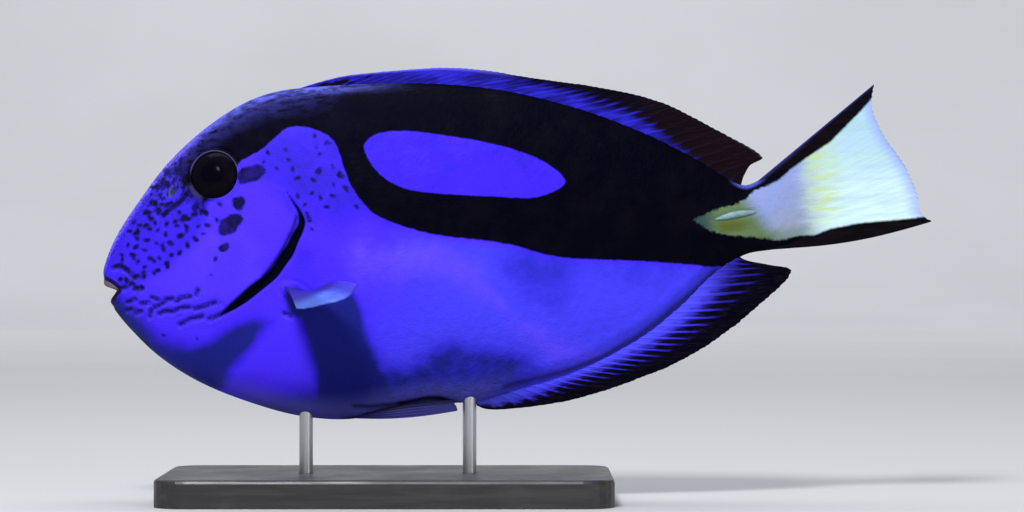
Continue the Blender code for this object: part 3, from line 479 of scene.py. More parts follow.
def lip_weight(x, z):
    """1 along the dark line of each lip and at the corner of the mouth, falling to 0 beside it."""
    weight = np.zeros(np.shape(x))
    for width, line in LIP_LINES:
        weight = np.maximum(weight, step(width + 0.35, width - 0.25, line_distance(x, z, line)))
    return weight


def painted_light_and_tone(x, z):
    """How much painted light, above 0, or painted shade and deeper blue, below 0, lies on the blue ground.
    """
    tone = np.zeros(np.shape(x))
    for outline, softness, amount in PAINTED_LIGHT_SHADE_AND_TONES:
        tone += amount * step(-softness, softness, inside_distance(x, z, outline))
    return tone


def crease_weight(x, z):
    """1 along each crease of the cheek and chin, falling to 0 beside it."""
    weight = np.zeros(np.shape(x))
    for crease in CREASES:
        weight = np.maximum(weight, 1 - step(0.0, 2 * CREASE_WIDTH, line_distance(x, z, crease)))
    return weight


def gill_distance(x, z):
    """Signed distance to the gill opening, positive inside it."""
    return inside_distance(x, z, rounded(COVER_EDGE + SHOULDER_EDGE))


def nostril_share(x, z):
    """Distance to the nearest nostril's centre, as a share of its oval's half size."""
    nearest = np.full(np.shape(x), 99.0)
    for centre, (narrow, long) in NOSTRILS:
        run, across = turned(x, z, centre, math.radians(NOSTRIL_TILT))
        nearest = np.minimum(nearest, np.hypot(run / long, across / narrow))
    return nearest


def fold_weight(x, z):
    """1 along the fold in front of the cover's free edge, falling to 0 beside it."""
    return bell(line_distance(x, z, COVER_FOLD), 0.55)


def sway(x):
    """How far the body is bent to the fish's right at a place along it."""
    behind = np.maximum(x - SWAY_START, 0.0) / (TOTAL_LENGTH - SWAY_START)
    return SWAY_AT_TIP * behind ** 2


def to_room(points):
    """Points in the fish's frame, in millimetres, at their place in the room, in metres."""
    x, y, z = points[..., 0], points[..., 1], points[..., 2]
    c, s = math.cos(NOSE_DOWN), math.sin(NOSE_DOWN)
    room = np.stack([x * c - z * s, y + sway(x), x * s + z * c], axis=-1) + np.array(SNOUT_PLACE)
    return room * MM


def as_seen(x, y, z):
    """Where a place on a flank appears in the fish's middle plane, seen from the camera's distance."""
    c, s = math.cos(NOSE_DOWN), math.sin(NOSE_DOWN)
    across = VIEW_CENTRE[0] - SNOUT_PLACE[0]
    up = VIEW_CENTRE[1] - SNOUT_PLACE[2]
    centre_x, centre_z = across * c + up * s, up * c - across * s
    nearer = 1 + (np.abs(y) - sway(x)) / VIEW_DISTANCE
    return mix(centre_x, x, nearer), mix(centre_z, z, nearer)


def mesh_object(name, points, faces, marks, material):
    """A smooth object from points in metres and faces, with an attribute for each mark."""
    mesh = bpy.data.meshes.new(name)
    mesh.from_pydata(points.reshape(-1, 3).tolist(), [], faces)
    mesh.update()
    mesh.shade_smooth()
    for key, values in marks.items():
        values = np.asarray(values, np.float32)
        kind, field = ("FLOAT_VECTOR", "vector") if values.shape[-1] == 3 else ("FLOAT", "value")
        attribute = mesh.attributes.new(key, kind, "POINT")
        attribute.data.foreach_set(field, values.reshape(-1))
    mesh.materials.append(material)
    item = bpy.data.objects.new(name, mesh)
    bpy.context.scene.collection.objects.link(item)
    return item


def grid_faces(rows, columns, wrap, flip=False, start=0):
    """Quads over a grid of points whose rows may close on themselves."""
    row = np.arange(rows - 1)[:, None]
    column = np.arange(columns if wrap else columns - 1)[None, :]
    after = (column + 1) % columns
    corners = (row * columns + column, row * columns + after, (row + 1) * columns + after,
               (row + 1) * columns + column)
    faces = np.stack([start + c + 0 * row + 0 * column for c in corners], axis=-1).reshape(-1, 4)
    return (faces[:, ::-1] if flip else faces).tolist()


def cap_faces(start, columns, flip=False):
    """A ladder of quads, with a triangle at each end, across a closed ring of points."""
    faces = []
    for k in range(columns // 2):
        corners = dict.fromkeys((k, k + 1, columns - k - 1, (columns - k) % columns))
        face = [start + corner for corner in corners]
        faces.append(face[::-1] if flip else face)
    return faces


def mirror_ring(half):
    """A whole ring from its half, which runs from the back to the belly on the +y side."""
    other = half[..., -2:0:-1, :] * np.array([1.0, -1.0, 1.0])
    return np.concatenate([half, other], axis=-2)


def ring_angles(x):
    """Angles that divide half of a ring into equal lengths."""
    dense = np.linspace(0.0, math.pi, 721)
    points = body_point(np.full_like(dense, x), dense)
    run = np.concatenate(([0.0], np.cumsum(np.linalg.norm(np.diff(points, axis=0), axis=1))))
    return np.interp(run[-1] * np.arange(HALF_RING + 1) / HALF_RING, run, dense)


def outside(points):
    """Whether each point lies outside the body."""
    x = np.maximum(points[..., 0], BODY_START)
    y, z = np.abs(points[..., 1]), points[..., 2]
    middle, height = middle_height(x)
    return (points[..., 0] < BODY_START) | (np.abs(z - middle) >= height) | (y > side(x, z))


def on_body(centre, direction):
    """Where rays from a point inside the body meet its surface."""
    near = np.zeros(direction.shape[:-1])
    far = near + 60.0
    for _ in range(40):
        middle = (near + far) / 2
        out = outside(centre + direction * middle[..., None])
        far = np.where(out, middle, far)
        near = np.where(out, near, middle)
    return centre + direction * near[..., None]


def mouth_loops():
    """Half rings from the throat over the lips to the first station of the body."""
    share = np.arange(HALF_RING + 1) / HALF_RING
    gape = share * math.pi
    forward = np.abs(np.cos(gape))
    upper = gape <= math.pi / 2
    front_x = np.where(upper, UPPER_LIP_FRONT[0], LOWER_LIP_FRONT[0])
    front_z = np.where(upper, UPPER_LIP_FRONT[1], LOWER_LIP_FRONT[1])
    lip = np.stack([mix(MOUTH_CORNER[0], front_x, forward),
                    MOUTH_HALF_WIDTH * np.sin(gape) * (1 - MOUTH_FRONT_TAPER * forward),
                    mix(MOUTH_CORNER[1], front_z, forward ** LIP_BLUNTNESS)], axis=-1)
    tangent = unit(np.gradient(lip, axis=0))
    tangent[0] = (0.0, 1.0, 0.0)
    tangent[-1] = (0.0, -1.0, 0.0)
    away = np.stack([LIP_BACKWARD[0] * np.sin(gape), LIP_BACKWARD[1] * np.sin(gape), np.cos(gape)], axis=-1)
    away = unit(away - tangent * np.sum(away * tangent, axis=-1, keepdims=True))
    facing = -np.cross(tangent, away)
    radius = LIP_RADIUS * mix(LIP_END_SHARE, 1.0, forward)[:, None]

    def bead(turn):
        return lip + radius * (math.cos(turn) * away + math.sin(turn) * facing)

    inner_count, bead_count, outer_count = MOUTH_LOOPS
    first, last = (math.radians(turn) for turn in LIP_TURN)
    loops = [mix(np.array(THROAT), bead(last), (i + 0.5) / (inner_count + 0.5)) for i in range(inner_count)]
    loops += [bead(mix(last, first, i / bead_count)) for i in range(bead_count + 1)]
    centre = np.array(MOUTH_CENTRE)
    start = unit(bead(first) - centre)
    reach = np.linalg.norm(bead(first) - centre, axis=-1)
    joint = body_point(np.full(HALF_RING + 1, MOUTH_JOIN), ring_angles(MOUTH_JOIN))
    end = unit(joint - centre)
    for i in range(1, outer_count):
        heading = unit(mix(start, end, i / outer_count))
        surface = on_body(centre, heading)
        full = np.linalg.norm(surface - centre, axis=-1)
        distance = mix(reach, full, step(0.0, LIP_FOLD_LOOPS, i))
        loops.append(centre + heading * distance[:, None])
    loops.append(joint)
    return loops


def stations():
    """Stations behind the mouth's join, closer together on the head."""
    places = []
    x = MOUTH_JOIN
    for last, spacing in STATION_SPACING:
        count = round((last - x) / spacing)
        places += list(np.linspace(x, last, count + 1)[1:])
        x = last
    return places


def relief(x, y, z):
    """How far the skin is raised above the plain body, in millimetres."""
    # Socket under the eyeball, with the orbit's soft swelling round it
    r = np.hypot(x - EYE_AT[0], z - EYE_AT[1])
    raised = -SOCKET_DEPTH * (1 - step(6.8, 7.9, r))
    raised += ORBIT_SWELL * bell(r - 9.2, 1.6)
    # Cover's free edge, the opening behind it and the shoulder
    seen = as_seen(x, y, z)
    gill = gill_distance(*seen)
    edge = line_distance(*seen, COVER_EDGE)
    ahead = inside_distance(*seen, COVER_EDGE + COVER_FRONT)
    raised += np.where(ahead > 0, COVER_RISE, 0.0) * np.exp(-edge / 2.4) * step(-0.6, 0.4, ahead)
    raised -= OPENING_DEPTH * step(-0.15, 0.75, gill)
    shoulder = line_distance(*seen, SHOULDER_EDGE)
    raised += SHOULDER_RISE * bell(shoulder, 1.6) * step(0.3, -0.3, gill)
    raised -= FOLD_DEPTH * fold_weight(*seen)
    # Hollow between eye and cover, cheek and gently swelling shoulder
    for at_x, at_z, reach_x, reach_z, height in SWELLINGS:
        raised += height * bell(x - at_x, reach_x) * bell(z - at_z, reach_z)
    # Swollen breast and hollow belly
    raised += BREAST_RISE * step(-5.0, 5.0, inside_distance(*seen, BREAST))
    raised -= BELLY_FALL * step(-7.0, 7.0, inside_distance(*seen, BELLY_PAINTED_SHADE)) * step(36.0, 60.0, x)
    # Creases, each with a swollen lower lip, and nostrils
    raised -= CREASE_DEPTH * crease_weight(*seen)
    raised += CREASE_LIP * crease_weight(seen[0], seen[1] + CREASE_LIP_DROP)
    q = nostril_share(*seen)
    raised += NOSTRIL_RIM * bell(q - 1.4, 0.4) - NOSTRIL_DEPTH * (1 - step(0.5, 1.1, q))
    # Fleshy lobe of the pectoral fin
    u, v = turned(x, z, LOBE_AT, math.radians(LOBE_TILT))
    q = np.hypot(u / LOBE_SIZE[0], v / LOBE_SIZE[2])
    dome = LOBE_SIZE[1] * np.sqrt(np.maximum(1 - q * q, 0.0)) - LOBE_SINK
    raised += np.maximum(dome, 0.0) * step(0.0, 1.2, dome)
    raised -= LOBE_GROOVE * bell(q - 1.18, 0.14)
    # Sheath of the tail's spine, and the folds above the pelvic fins
    rise = z - SPINE_AT[1] - SPINE_RISE * (x - SPINE_AT[0])
    q = np.hypot((x - SPINE_AT[0]) / (SPINE_HALF_SIZE[0] + 0.5), rise / (SPINE_HALF_SIZE[2] + 0.5))
    raised -= SPINE_GROOVE * (1 - step(0.75, 1.3, q))
    raised += SPINE_SHEATH * bell(q - 1.4, 0.3)
    raised -= PELVIC_GROOVE * bell(line_distance(x, z, PELVIC_FOLD), 0.6)
    # Fleshy base of the anal fin, and the muscle blocks of the flank
    raised += ANAL_BASE_RISE * bell(z - belly(x) - 5.0, 1.6) * step(108.0, 116.0, x)
    wave = np.sin((x + 0.55 * np.abs(z - 2.0)) * MUSCLE_TURN)
    raised += MUSCLE_RISE * wave * step(66.0, 80.0, x) * step(180.0, 160.0, x)
    return raised * step(7.0, 10.0, x + 0 * z)


def marks_at(x, y, z):
    """The skin's markings, and where light and shade are painted on it, at places given in the fish's frame.
    """
    r = np.hypot(x - EYE_AT[0], z - EYE_AT[1])
    turn = np.degrees(np.arctan2(z - EYE_AT[1], x - EYE_AT[0]))
    wedge = step(-172.0, -155.0, turn) * step(-115.0, -132.0, turn)
    seen = as_seen(x, y, z)
    # Painted shade along the anal fin's base and above the pelvic fins, and a painted shadow in the pelvic
    # folds
    shade = np.maximum(bell(line_distance(*seen, ANAL_SHADE), 0.9),
                       bell(line_distance(*seen, PELVIC_FOLD), 0.8))
    pelvic_fold_shadow = bell(line_distance(*seen, PELVIC_FOLD[3:]), 0.6)
    return {
        "place": np.stack([x, y, z], axis=-1),
        "band": inside_distance(*seen, rounded(BAND_EDGE)),
        "oval": inside_distance(*seen, rounded(OVAL)),
        "tone": painted_light_and_tone(*seen),
        "lip": lip_weight(*seen),
        "pale": inside_distance(*seen, PALE_FIELD),
        "spots": spot_distance(*seen),
        "gill": gill_distance(*seen),
        "crease": crease_weight(*seen),
        "crease_lip_highlight": crease_weight(seen[0], seen[1] + CREASE_LIP_DROP),
        "nostril": nostril_share(*seen),
        "nostril_highlight_side": step(0.5, -1.2, seen[0] - NOSTRILS[0][0][0]),
        "fold_shadow": np.maximum(fold_weight(*seen), pelvic_fold_shadow),
        "wrinkle": step(-1.0, 3.0, inside_distance(*seen, WRINKLES)),
        "eye_line": np.abs(r - ORBIT_LINE),
        "eye_arc": step(0.0, 14.0, turn) * step(178.0, 150.0, turn),
        "eye_wedge": bell(r - 7.6, 0.6) * wedge,
        "shade": shade,
        "depth": z - belly(x),
        "crown": back(x) - z,
    }


def make_skin(material):
    """One skin over head, gill covers, trunk and tail base, open only at the mouth."""
    halves = mouth_loops()
    lip_last = sum(MOUTH_LOOPS[:2]) + 1
    for x in stations():
        halves.append(body_point(np.full(HALF_RING + 1, x), ring_angles(x)))
    base = mirror_ring(np.array(halves))
    rings, columns = base.shape[:2]
    along = np.gradient(base, axis=0)
    around = (np.roll(base, -1, axis=1) - np.roll(base, 1, axis=1)) / 2
    normal = unit(np.cross(along, around))
    x, y, z = base[..., 0], base[..., 1], base[..., 2]
    raised = relief(x, y, z)
    raised[:lip_last] = 0.0
    raised *= np.clip(np.abs(y) / 1.5, 0.0, 1.0)
    points = base + normal * raised[..., None]
    marks = marks_at(x, y, z)
    mouth = np.zeros((rings, columns))
    mouth[:MOUTH_LOOPS[0]] = 1.0
    mouth[MOUTH_LOOPS[0]:lip_last] = np.linspace(1.0, 0.0, lip_last - MOUTH_LOOPS[0])[:, None]
    marks["mouth"] = mouth
    faces = grid_faces(rings, columns, wrap=True, flip=True)
    faces += cap_faces(0, columns) + cap_faces((rings - 1) * columns, columns, flip=True)
    return mesh_object("skin", to_room(points), faces, marks, material)


def make_orbit(word, sign, material):
    """The rim of flesh round an eye, which closes the gap between skin and eyeball."""
    turns = np.linspace(0.0, 2 * math.pi, EYE_SIDES, endpoint=False)
    rows = []
    for radius, height in ORBIT_PROFILE:
        x = EYE_AT[0] + radius * np.cos(turns)
        z = EYE_AT[1] + radius * np.sin(turns)
        point = np.stack([x, side(x, z), z], axis=-1) + side_normal(x, z) * height
        rows.append(point * np.array([1.0, sign, 1.0]))
    points = np.array(rows)
    count, columns = points.shape[:2]
    faces = grid_faces(count, columns, wrap=True, flip=sign < 0)
    last = (count - 1) * columns
    for k in range(columns):
        n = (k + 1) % columns
        face = [last + k, last + n, n, k]
        faces.append(face[::-1] if sign < 0 else face)
    marks = marks_at(points[..., 0], points[..., 1], points[..., 2])
    marks["mouth"] = np.zeros(points.shape[:2])
    return mesh_object("orbit_" + word, to_room(points), faces, marks, material)


def make_eye(word, sign, material):
    """An eyeball: a flattened globe square to the side of the head, its clear front slightly domed."""
    x, z = np.array(EYE_AT[0]), np.array(EYE_AT[1])
    normal = side_normal(x, z)
    centre = np.array([x, side(x, z), z]) - normal * EYE_SINK
    fore = unit(np.array([1.0, 0.0, 0.0]) - normal * normal[0])
    up = np.cross(normal, fore)
    polar = np.linspace(0.0, math.pi, 49)[1:-1]
    turns = np.linspace(0.0, 2 * math.pi, EYE_SIDES, endpoint=False)
    reach = EYE_RADIUS * np.sin(polar)[:, None]
    lift = EYE_HALF_DEPTH * np.cos(polar)[:, None]
    lift = lift + np.where(lift > 0, EYE_DOME * (1 - step(2.2, 4.0, reach)), 0.0)
    points = (centre + normal * lift[..., None] + fore * (reach * np.cos(turns))[..., None]
              + up * (reach * np.sin(turns))[..., None])
    poles = np.array([centre + normal * (EYE_HALF_DEPTH + EYE_DOME), centre - normal * EYE_HALF_DEPTH])
    count, columns = points.shape[:2]
    faces = grid_faces(count, columns, wrap=True)
    total = count * columns
    for k in range(columns):
        n = (k + 1) % columns
        faces.append([n, k, total])
        faces.append([total - columns + k, total - columns + n, total + 1])
    if sign < 0:
        faces = [face[::-1] for face in faces]
    everything = np.concatenate([points.reshape(-1, 3), poles]) * np.array([1.0, sign, 1.0])
    radial = np.concatenate([np.repeat(reach, columns, axis=1).reshape(-1), [0.0, 0.0]])
    angle = np.concatenate([np.tile(turns, count), [0.0, 0.0]])
    marks = {"radial": radial, "turn_x": np.cos(angle), "turn_z": np.sin(angle)}
    return mesh_object("eyeball_" + word, to_room(everything), faces, marks, material)


def make_spine(word, sign, material):
    """The folded spine of one side: a curved blade, pointed forwards, lying in its sheath."""
    rows = 40
    columns = 20
    share = np.linspace(0.0, 1.0, rows)[:, None]
    turns = np.linspace(0.0, 2 * math.pi, columns, endpoint=False)[None, :]
    taper = np.sin(math.pi * np.clip(share * 0.93 + 0.035, 0, 1)) ** 0.6
    x = SPINE_AT[0] + mix(-SPINE_HALF_SIZE[0], SPINE_HALF_SIZE[0], share) + 0 * turns
    ridge = SPINE_AT[1] + SPINE_RISE * (x - SPINE_AT[0]) + 0.4 * np.sin(math.pi * share)
    z = ridge + SPINE_HALF_SIZE[2] * taper * np.sin(turns)
    y = side(x, ridge) + SPINE_HALF_SIZE[1] * taper * np.cos(turns) - 0.15
    points = np.stack([x, sign * y, z], axis=-1)
    faces = grid_faces(rows, columns, wrap=True, flip=sign < 0)
    faces += cap_faces(0, columns, flip=sign > 0) + cap_faces((rows - 1) * columns, columns, flip=sign < 0)
    return mesh_object("spine_" + word, to_room(points), faces, {"share": share + 0 * turns}, material)


def make_fin(name, middle, rays, material, per_ray=12, rows=44, ray_thickness=(1.3, 0.45),
             web_thickness=(0.8, 0.3), branching=0.24, upright=True, flip=False, notch=0.012, ragged=0.012):
    """A fin: a closed sheet with a ridge along each ray, which forks towards the rim.

    middle(u, v) gives points for u from the first ray to the last and v from the root, 0, to the rim, 1.
    """
    u = np.linspace(0.0, 1.0, (rays - 1) * per_ray + 1)[:, None]
    spread = u * (rays - 1)
    off_ray = np.abs(spread - np.round(spread))
    index = np.round(spread)
    drift = 0.5 + 0.5 * np.sin(index * 12.9898) * np.cos(index * 4.1414)
    rim_ridge = bell(off_ray - branching, RIM_RIDGE_REACH)
    reach = 1.0 - notch * (1 - rim_ridge) - ragged * drift
    v = np.linspace(0.0, 1.0, rows + 1)[None, :] * reach
    fork = branching * step(*FORK_SPAN, v)
    ridge = bell(off_ray - fork, RIDGE_REACH)
    ridge = np.maximum(ridge, STEM_SHARE * bell(off_ray, STEM_REACH))
    points = middle(u + 0 * v, v)
    if upright:
        across = np.zeros_like(points)
        across[..., 1] = 1.0
    else:
        across = unit(np.cross(np.gradient(points, axis=1), np.gradient(points, axis=0)))
    web = mix(*web_thickness, np.clip(v, 0, 1))
    ray = mix(*ray_thickness, np.clip(v, 0, 1))
    joints = 1 - JOINT_DEPTH * (np.sin(v * 150.0 + index) > 0.8) * ridge
    half = mix(web, ray * joints, ridge)[..., None] / 2
    half = half * mix(1.0, RIM_THINNING, step(0.93, 1.0, v / reach))[..., None]
    columns = u.shape[0]
    shape = np.concatenate([points - across * half, points + across * half])
    lines = rows + 1
    near = grid_faces(columns, lines, wrap=False, flip=flip)
    far = grid_faces(columns, lines, wrap=False, flip=not flip, start=columns * lines)
    faces = near + far
    offset = columns * lines
    border = [(c * lines, (c + 1) * lines) for c in range(columns - 1)]
    border += [((columns - 1) * lines + r, (columns - 1) * lines + r + 1) for r in range(rows)]
    border += [(c * lines + rows, (c - 1) * lines + rows) for c in range(columns - 1, 0, -1)]
    border += [(r, r - 1) for r in range(rows, 0, -1)]
    for a, b in border:
        face = [a, b, offset + b, offset + a]
        faces.append(face if flip else face[::-1])
    x, z = points[..., 0], points[..., 2]
    one_side = {
        "ridge": ridge,
        "along": v / reach,
        "across": spread + 0 * v,
        "height": np.maximum(z - back(x), belly(x) - z),
        "pale": inside_distance(*as_seen(x, 0 * x, z), PALE_FIELD),
        "place": points,
    }
    marks = {key: np.concatenate([values, values]) for key, values in one_side.items()}
    return mesh_object(name, to_room(shape), faces, marks, material)


def upright_middle(root_span, edge, away, rim):
    """The middle surface of a fin that leans back along the back or belly."""
    outline = path(rim)
    lean = curve(FOLDED_LEAN)

    def middle(u, v):
        x = mix(*root_span, u)
        tip_x, tip_z = outline(lean(u))
        px = mix(x, tip_x, v)
        pz = mix(edge(x), tip_z, v) - away * FIN_SINK * (1 - v)
        py = 0.35 * np.sin(u * 38.0 + v * 2.0) * v * v
        return np.stack([px, py, pz], axis=-1)

    return middle


def caudal_middle(u, v):
    """The middle surface of the tail fin, whose root is sunk into the tail base."""
    rim_x, rim_z = path(CAUDAL_RIM)(u)
    z = mix(*CAUDAL_ROOT, u)
    px = mix(CAUDAL_START - 1.0, rim_x, v)
    pz = mix(z, rim_z, v) - CAUDAL_LOWER_BOW * np.sin(math.pi * v) * u ** 3
    py = 0.5 * np.sin(u * 9.0 + v * 1.5) * v * v
    return np.stack([px, py, pz], axis=-1)


def pectoral_middle(sign):
    """The middle surface of a pectoral fin held out to its side."""
    length = curve(PECTORAL_LENGTHS)
    swept = curve(PECTORAL_SWEEP)
    dropped = curve(PECTORAL_DROOP)

    def middle(u, v):
        x = mix(PECTORAL_ROOT[0][0], PECTORAL_ROOT[1][0], u)
        z = mix(PECTORAL_ROOT[0][1], PECTORAL_ROOT[1][1], u)
        sweep = np.radians(swept(u))
        droop = np.radians(dropped(u))
        heading = unit(np.stack([np.sin(sweep), sign * np.cos(sweep), -np.tan(droop)], axis=-1))
        root = np.stack([x, sign * (side(x, z) + PECTORAL_STANDOFF), z], axis=-1)
        point = root + heading * (length(u) * v)[..., None]
        point[..., 2] += mix(*PECTORAL_ARCH, u * u) * np.sin(math.pi * v)
        return point

    return middle


def pelvic_middle(sign):
    """The middle surface of a pelvic fin folded back beside the belly's keel."""
    (x0, z0), (x1, z1) = PELVIC_TIPS

    def middle(u, v):
        x = mix(*PELVIC_ROOT, u)
        root_z = belly(x) + 0.6
        px = mix(x, mix(x0, x1, u), v)
        pz = mix(root_z, mix(z0, z1, u), v) + mix(*PELVIC_BOW, u) * np.sin(math.pi * v)
        return np.stack([px, sign * PELVIC_OUT + 0 * px, pz], axis=-1)

    return middle


class Nodes:
    """Builds a material's nodes; each call adds what it names and gives its output."""

    def __init__(self, name):
        """A new material with a plain shader."""
        self.material = bpy.data.materials.new(name)
        self.material.use_nodes = True
        self.tree = self.material.node_tree
        self.shader = self.tree.nodes["Principled BSDF"]

    def feed(self, socket, value):
        """Link a socket to an output, or set it to a constant."""
        if isinstance(value, bpy.types.NodeSocket):
            self.tree.links.new(value, socket)
        elif isinstance(value, tuple) and len(value) == 3 and socket.type == "RGBA":
            socket.default_value = (*value, 1.0)
        else:
            socket.default_value = value

    def mark(self, name, vector=False):
        """A marking that is stored on the mesh."""
        node = self.tree.nodes.new("ShaderNodeAttribute")
        node.attribute_name = name
        return node.outputs["Vector" if vector else "Fac"]

    def split(self, vector):
        """The x, y and z of a vector."""
        node = self.tree.nodes.new("ShaderNodeSeparateXYZ")
        self.feed(node.inputs[0], vector)
        return tuple(node.outputs)

    def math(self, operation, a, b=0.0):
        """The outcome of a sum with one value or two."""
        node = self.tree.nodes.new("ShaderNodeMath")
        node.operation = operation
        for socket, value in zip(node.inputs, (a, b)):
            self.feed(socket, value)
        return node.outputs[0]

    def times(self, a, b):
        """The product of two values."""
        return self.math("MULTIPLY", a, b)

    def plus(self, a, b):
        """The sum of two values."""
        return self.math("ADD", a, b)

    def minus(self, a, b):
        """The first value less the second."""
        return self.math("SUBTRACT", a, b)

    def between(self, value, low, from_low, to_high, high):
        """1 in the middle of a span, falling smoothly to 0 at both its ends."""
        return self.times(self.ramp(value, low, from_low), self.ramp(value, high, to_high))

    def ramp(self, value, low, high, start=0.0, end=1.0):
        """A smooth change from start to end while the value goes from low to high."""
        node = self.tree.nodes.new("ShaderNodeMapRange")
        node.interpolation_type = "SMOOTHSTEP"
        for name, item in (("Value", value), ("From Min", low), ("From Max", high), ("To Min", start),
                           ("To Max", end)):
            self.feed(node.inputs[name], item)
        return node.outputs["Result"]

    def blend(self, share, a, b, mode="MIX"):
        """Colour a with the given share of colour b."""
        node = self.tree.nodes.new("ShaderNodeMix")
        node.data_type = "RGBA"
        node.blend_type = mode
        self.feed(node.inputs["Factor"], share)
        self.feed(node.inputs[6], a)
        self.feed(node.inputs[7], b)
        return node.outputs[2]

    def stretch(self, vector, scale):
        """A place scaled along x, y and z."""
        node = self.tree.nodes.new("ShaderNodeVectorMath")
        node.operation = "MULTIPLY"
        self.feed(node.inputs[0], vector)
        node.inputs[1].default_value = scale
        return node.outputs[0]

    def noise(self, vector, scale, detail=3.0, roughness=0.55):
        """Soft noise from 0 to 1."""
        node = self.tree.nodes.new("ShaderNodeTexNoise")
        self.feed(node.inputs["Vector"], vector)
        node.inputs["Scale"].default_value = scale
        node.inputs["Detail"].default_value = detail
        node.inputs["Roughness"].default_value = roughness
        return node.outputs["Fac"]

    def cells(self, vector, scale):
        """Distance to the middle of the nearest of many small cells."""
        node = self.tree.nodes.new("ShaderNodeTexVoronoi")
        self.feed(node.inputs["Vector"], vector)
        node.inputs["Scale"].default_value = scale
        return node.outputs["Distance"]

    def position(self):
        """The place in the object's own frame, in metres."""
        return self.tree.nodes.new("ShaderNodeTexCoord").outputs["Object"]

    def bump(self, height, strength, distance):
        """Fine relief of the shaded surface."""
        node = self.tree.nodes.new("ShaderNodeBump")
        node.inputs["Strength"].default_value = strength
        node.inputs["Distance"].default_value = distance
        self.feed(node.inputs["Height"], height)
        self.tree.links.new(node.outputs["Normal"], self.shader.inputs["Normal"])

    def finish(self, colour, roughness, **settings):
        """The finished material, with further settings named as the shader's sockets."""
        self.feed(self.shader.inputs["Base Color"], colour)
        self.feed(self.shader.inputs["Roughness"], roughness)
        for key, value in settings.items():
            self.feed(self.shader.inputs[key.replace("_", " ")], value)
        return self.material


def srgb(*levels):
    """A linear colour from sRGB levels of 0 to 255."""
    shares = [level / 255 for level in levels]
    return tuple(c / 12.92 if c <= 0.04045 else ((c + 0.055) / 1.055) ** 2.4 for c in shares)


# Colours of the skin and its markings, and of the light and shade painted on it
BLUE = srgb(71, 43, 250)
DEEPEN = (0.6, 0.58, 0.76)
# Next: painted light, the cooler blue of the tail, painted shade, the painted shade of the underside and a
# painted rim light
BLUE_PAINTED_LIGHT = srgb(97, 72, 255)
BLUE_REAR = srgb(66, 62, 240)
BLUE_SHADE = srgb(23, 31, 116)
BELLY_SHADE_GREY = srgb(84, 84, 180)
BLUE_PAINTED_RIM_LIGHT = srgb(128, 114, 255)
BLUE_VEIL = srgb(62, 60, 168)
INK = srgb(4, 4, 12)
INK_BROWN = srgb(8, 7, 14)
SPOT = srgb(9, 8, 40)
# Painted sheen of the nape, and painted highlight along the crest of the back and atop the tail base
NAPE_PAINTED_SHEEN = srgb(44, 44, 116)
CREST_PAINTED_HIGHLIGHT = srgb(92, 98, 212)
LIP_DARK = srgb(10, 8, 18)
LIP_INNER = srgb(106, 92, 104)
LIP_LOWER = srgb(30, 14, 24)
MOUTH_INSIDE = srgb(34, 24, 44)
SHADE_GREY = srgb(27, 29, 74)
# Painted shade of the creases, painted highlight below each, and painted shade of the gill opening and folds
CREASE_SHADE = srgb(12, 9, 70)
CREASE_LIP_HIGHLIGHT_BLUE = srgb(96, 76, 255)
OPENING_SHADE_BLACK = srgb(4, 5, 18)
PALE = srgb(136, 152, 206)
PALE_GREY = srgb(142, 152, 178)
PALE_GREEN = srgb(112, 134, 126)
WEDGE = srgb(96, 118, 82)
WEDGE_TIP = srgb(54, 76, 74)
OLIVE = srgb(84, 92, 34)
WHITE = srgb(206, 236, 236)
WHITE_UPPER = srgb(162, 202, 210)
STREAK = srgb(182, 208, 138)
ORBIT_PALE = srgb(96, 88, 142)
ORBIT_WEDGE = srgb(58, 60, 112)
# Painted highlight on the nostrils' front rims and painted shade in their pits
NOSTRIL_HIGHLIGHT = srgb(98, 100, 168)
NOSTRIL_PIT_SHADE = srgb(50, 54, 84)
# Colours of the fins, with the shade and highlights painted on them, eyes, tail spines, stand and floor,
# and tints and levels of the shine
FAN_SHADOW = srgb(178, 204, 236)
DORSAL_BLUE = srgb(42, 38, 186)
DORSAL_DEEP = srgb(28, 24, 128)
DORSAL_REAR = srgb(20, 12, 60)
DORSAL_BROWN = srgb(20, 11, 13)
DORSAL_STREAK = srgb(32, 20, 21)
# Painted shade between the folded front spines of the back fin
DORSAL_SPINE_GAP_SHADE = srgb(9, 8, 20)
DORSAL_EDGE = srgb(104, 98, 255)
DORSAL_TIP = srgb(84, 82, 100)
ANAL_BLUE = srgb(78, 76, 244)
ANAL_DEEP = srgb(52, 42, 206)
ANAL_FRONT = srgb(52, 54, 160)
ANAL_REAR = srgb(34, 26, 120)
ANAL_BROWN = srgb(20, 12, 20)
FAN_WEB = srgb(150, 186, 214)
FAN_HIND = srgb(138, 148, 244)
FAN_BLACK = srgb(8, 7, 12)
FAN_BROWN = srgb(18, 13, 19)
FAN_VEIL = srgb(44, 46, 96)
# Painted highlight along the tail fan's upper edge
FAN_TOP_HIGHLIGHT = srgb(72, 62, 170)
PECTORAL_FRONT = srgb(58, 84, 158)
PECTORAL_PALE = srgb(80, 110, 214)
PECTORAL_RIDGE = srgb(92, 122, 214)
PECTORAL_CLOUD = srgb(58, 80, 164)
PECTORAL_INNER = srgb(48, 38, 172)
PECTORAL_LAST = srgb(66, 46, 228)
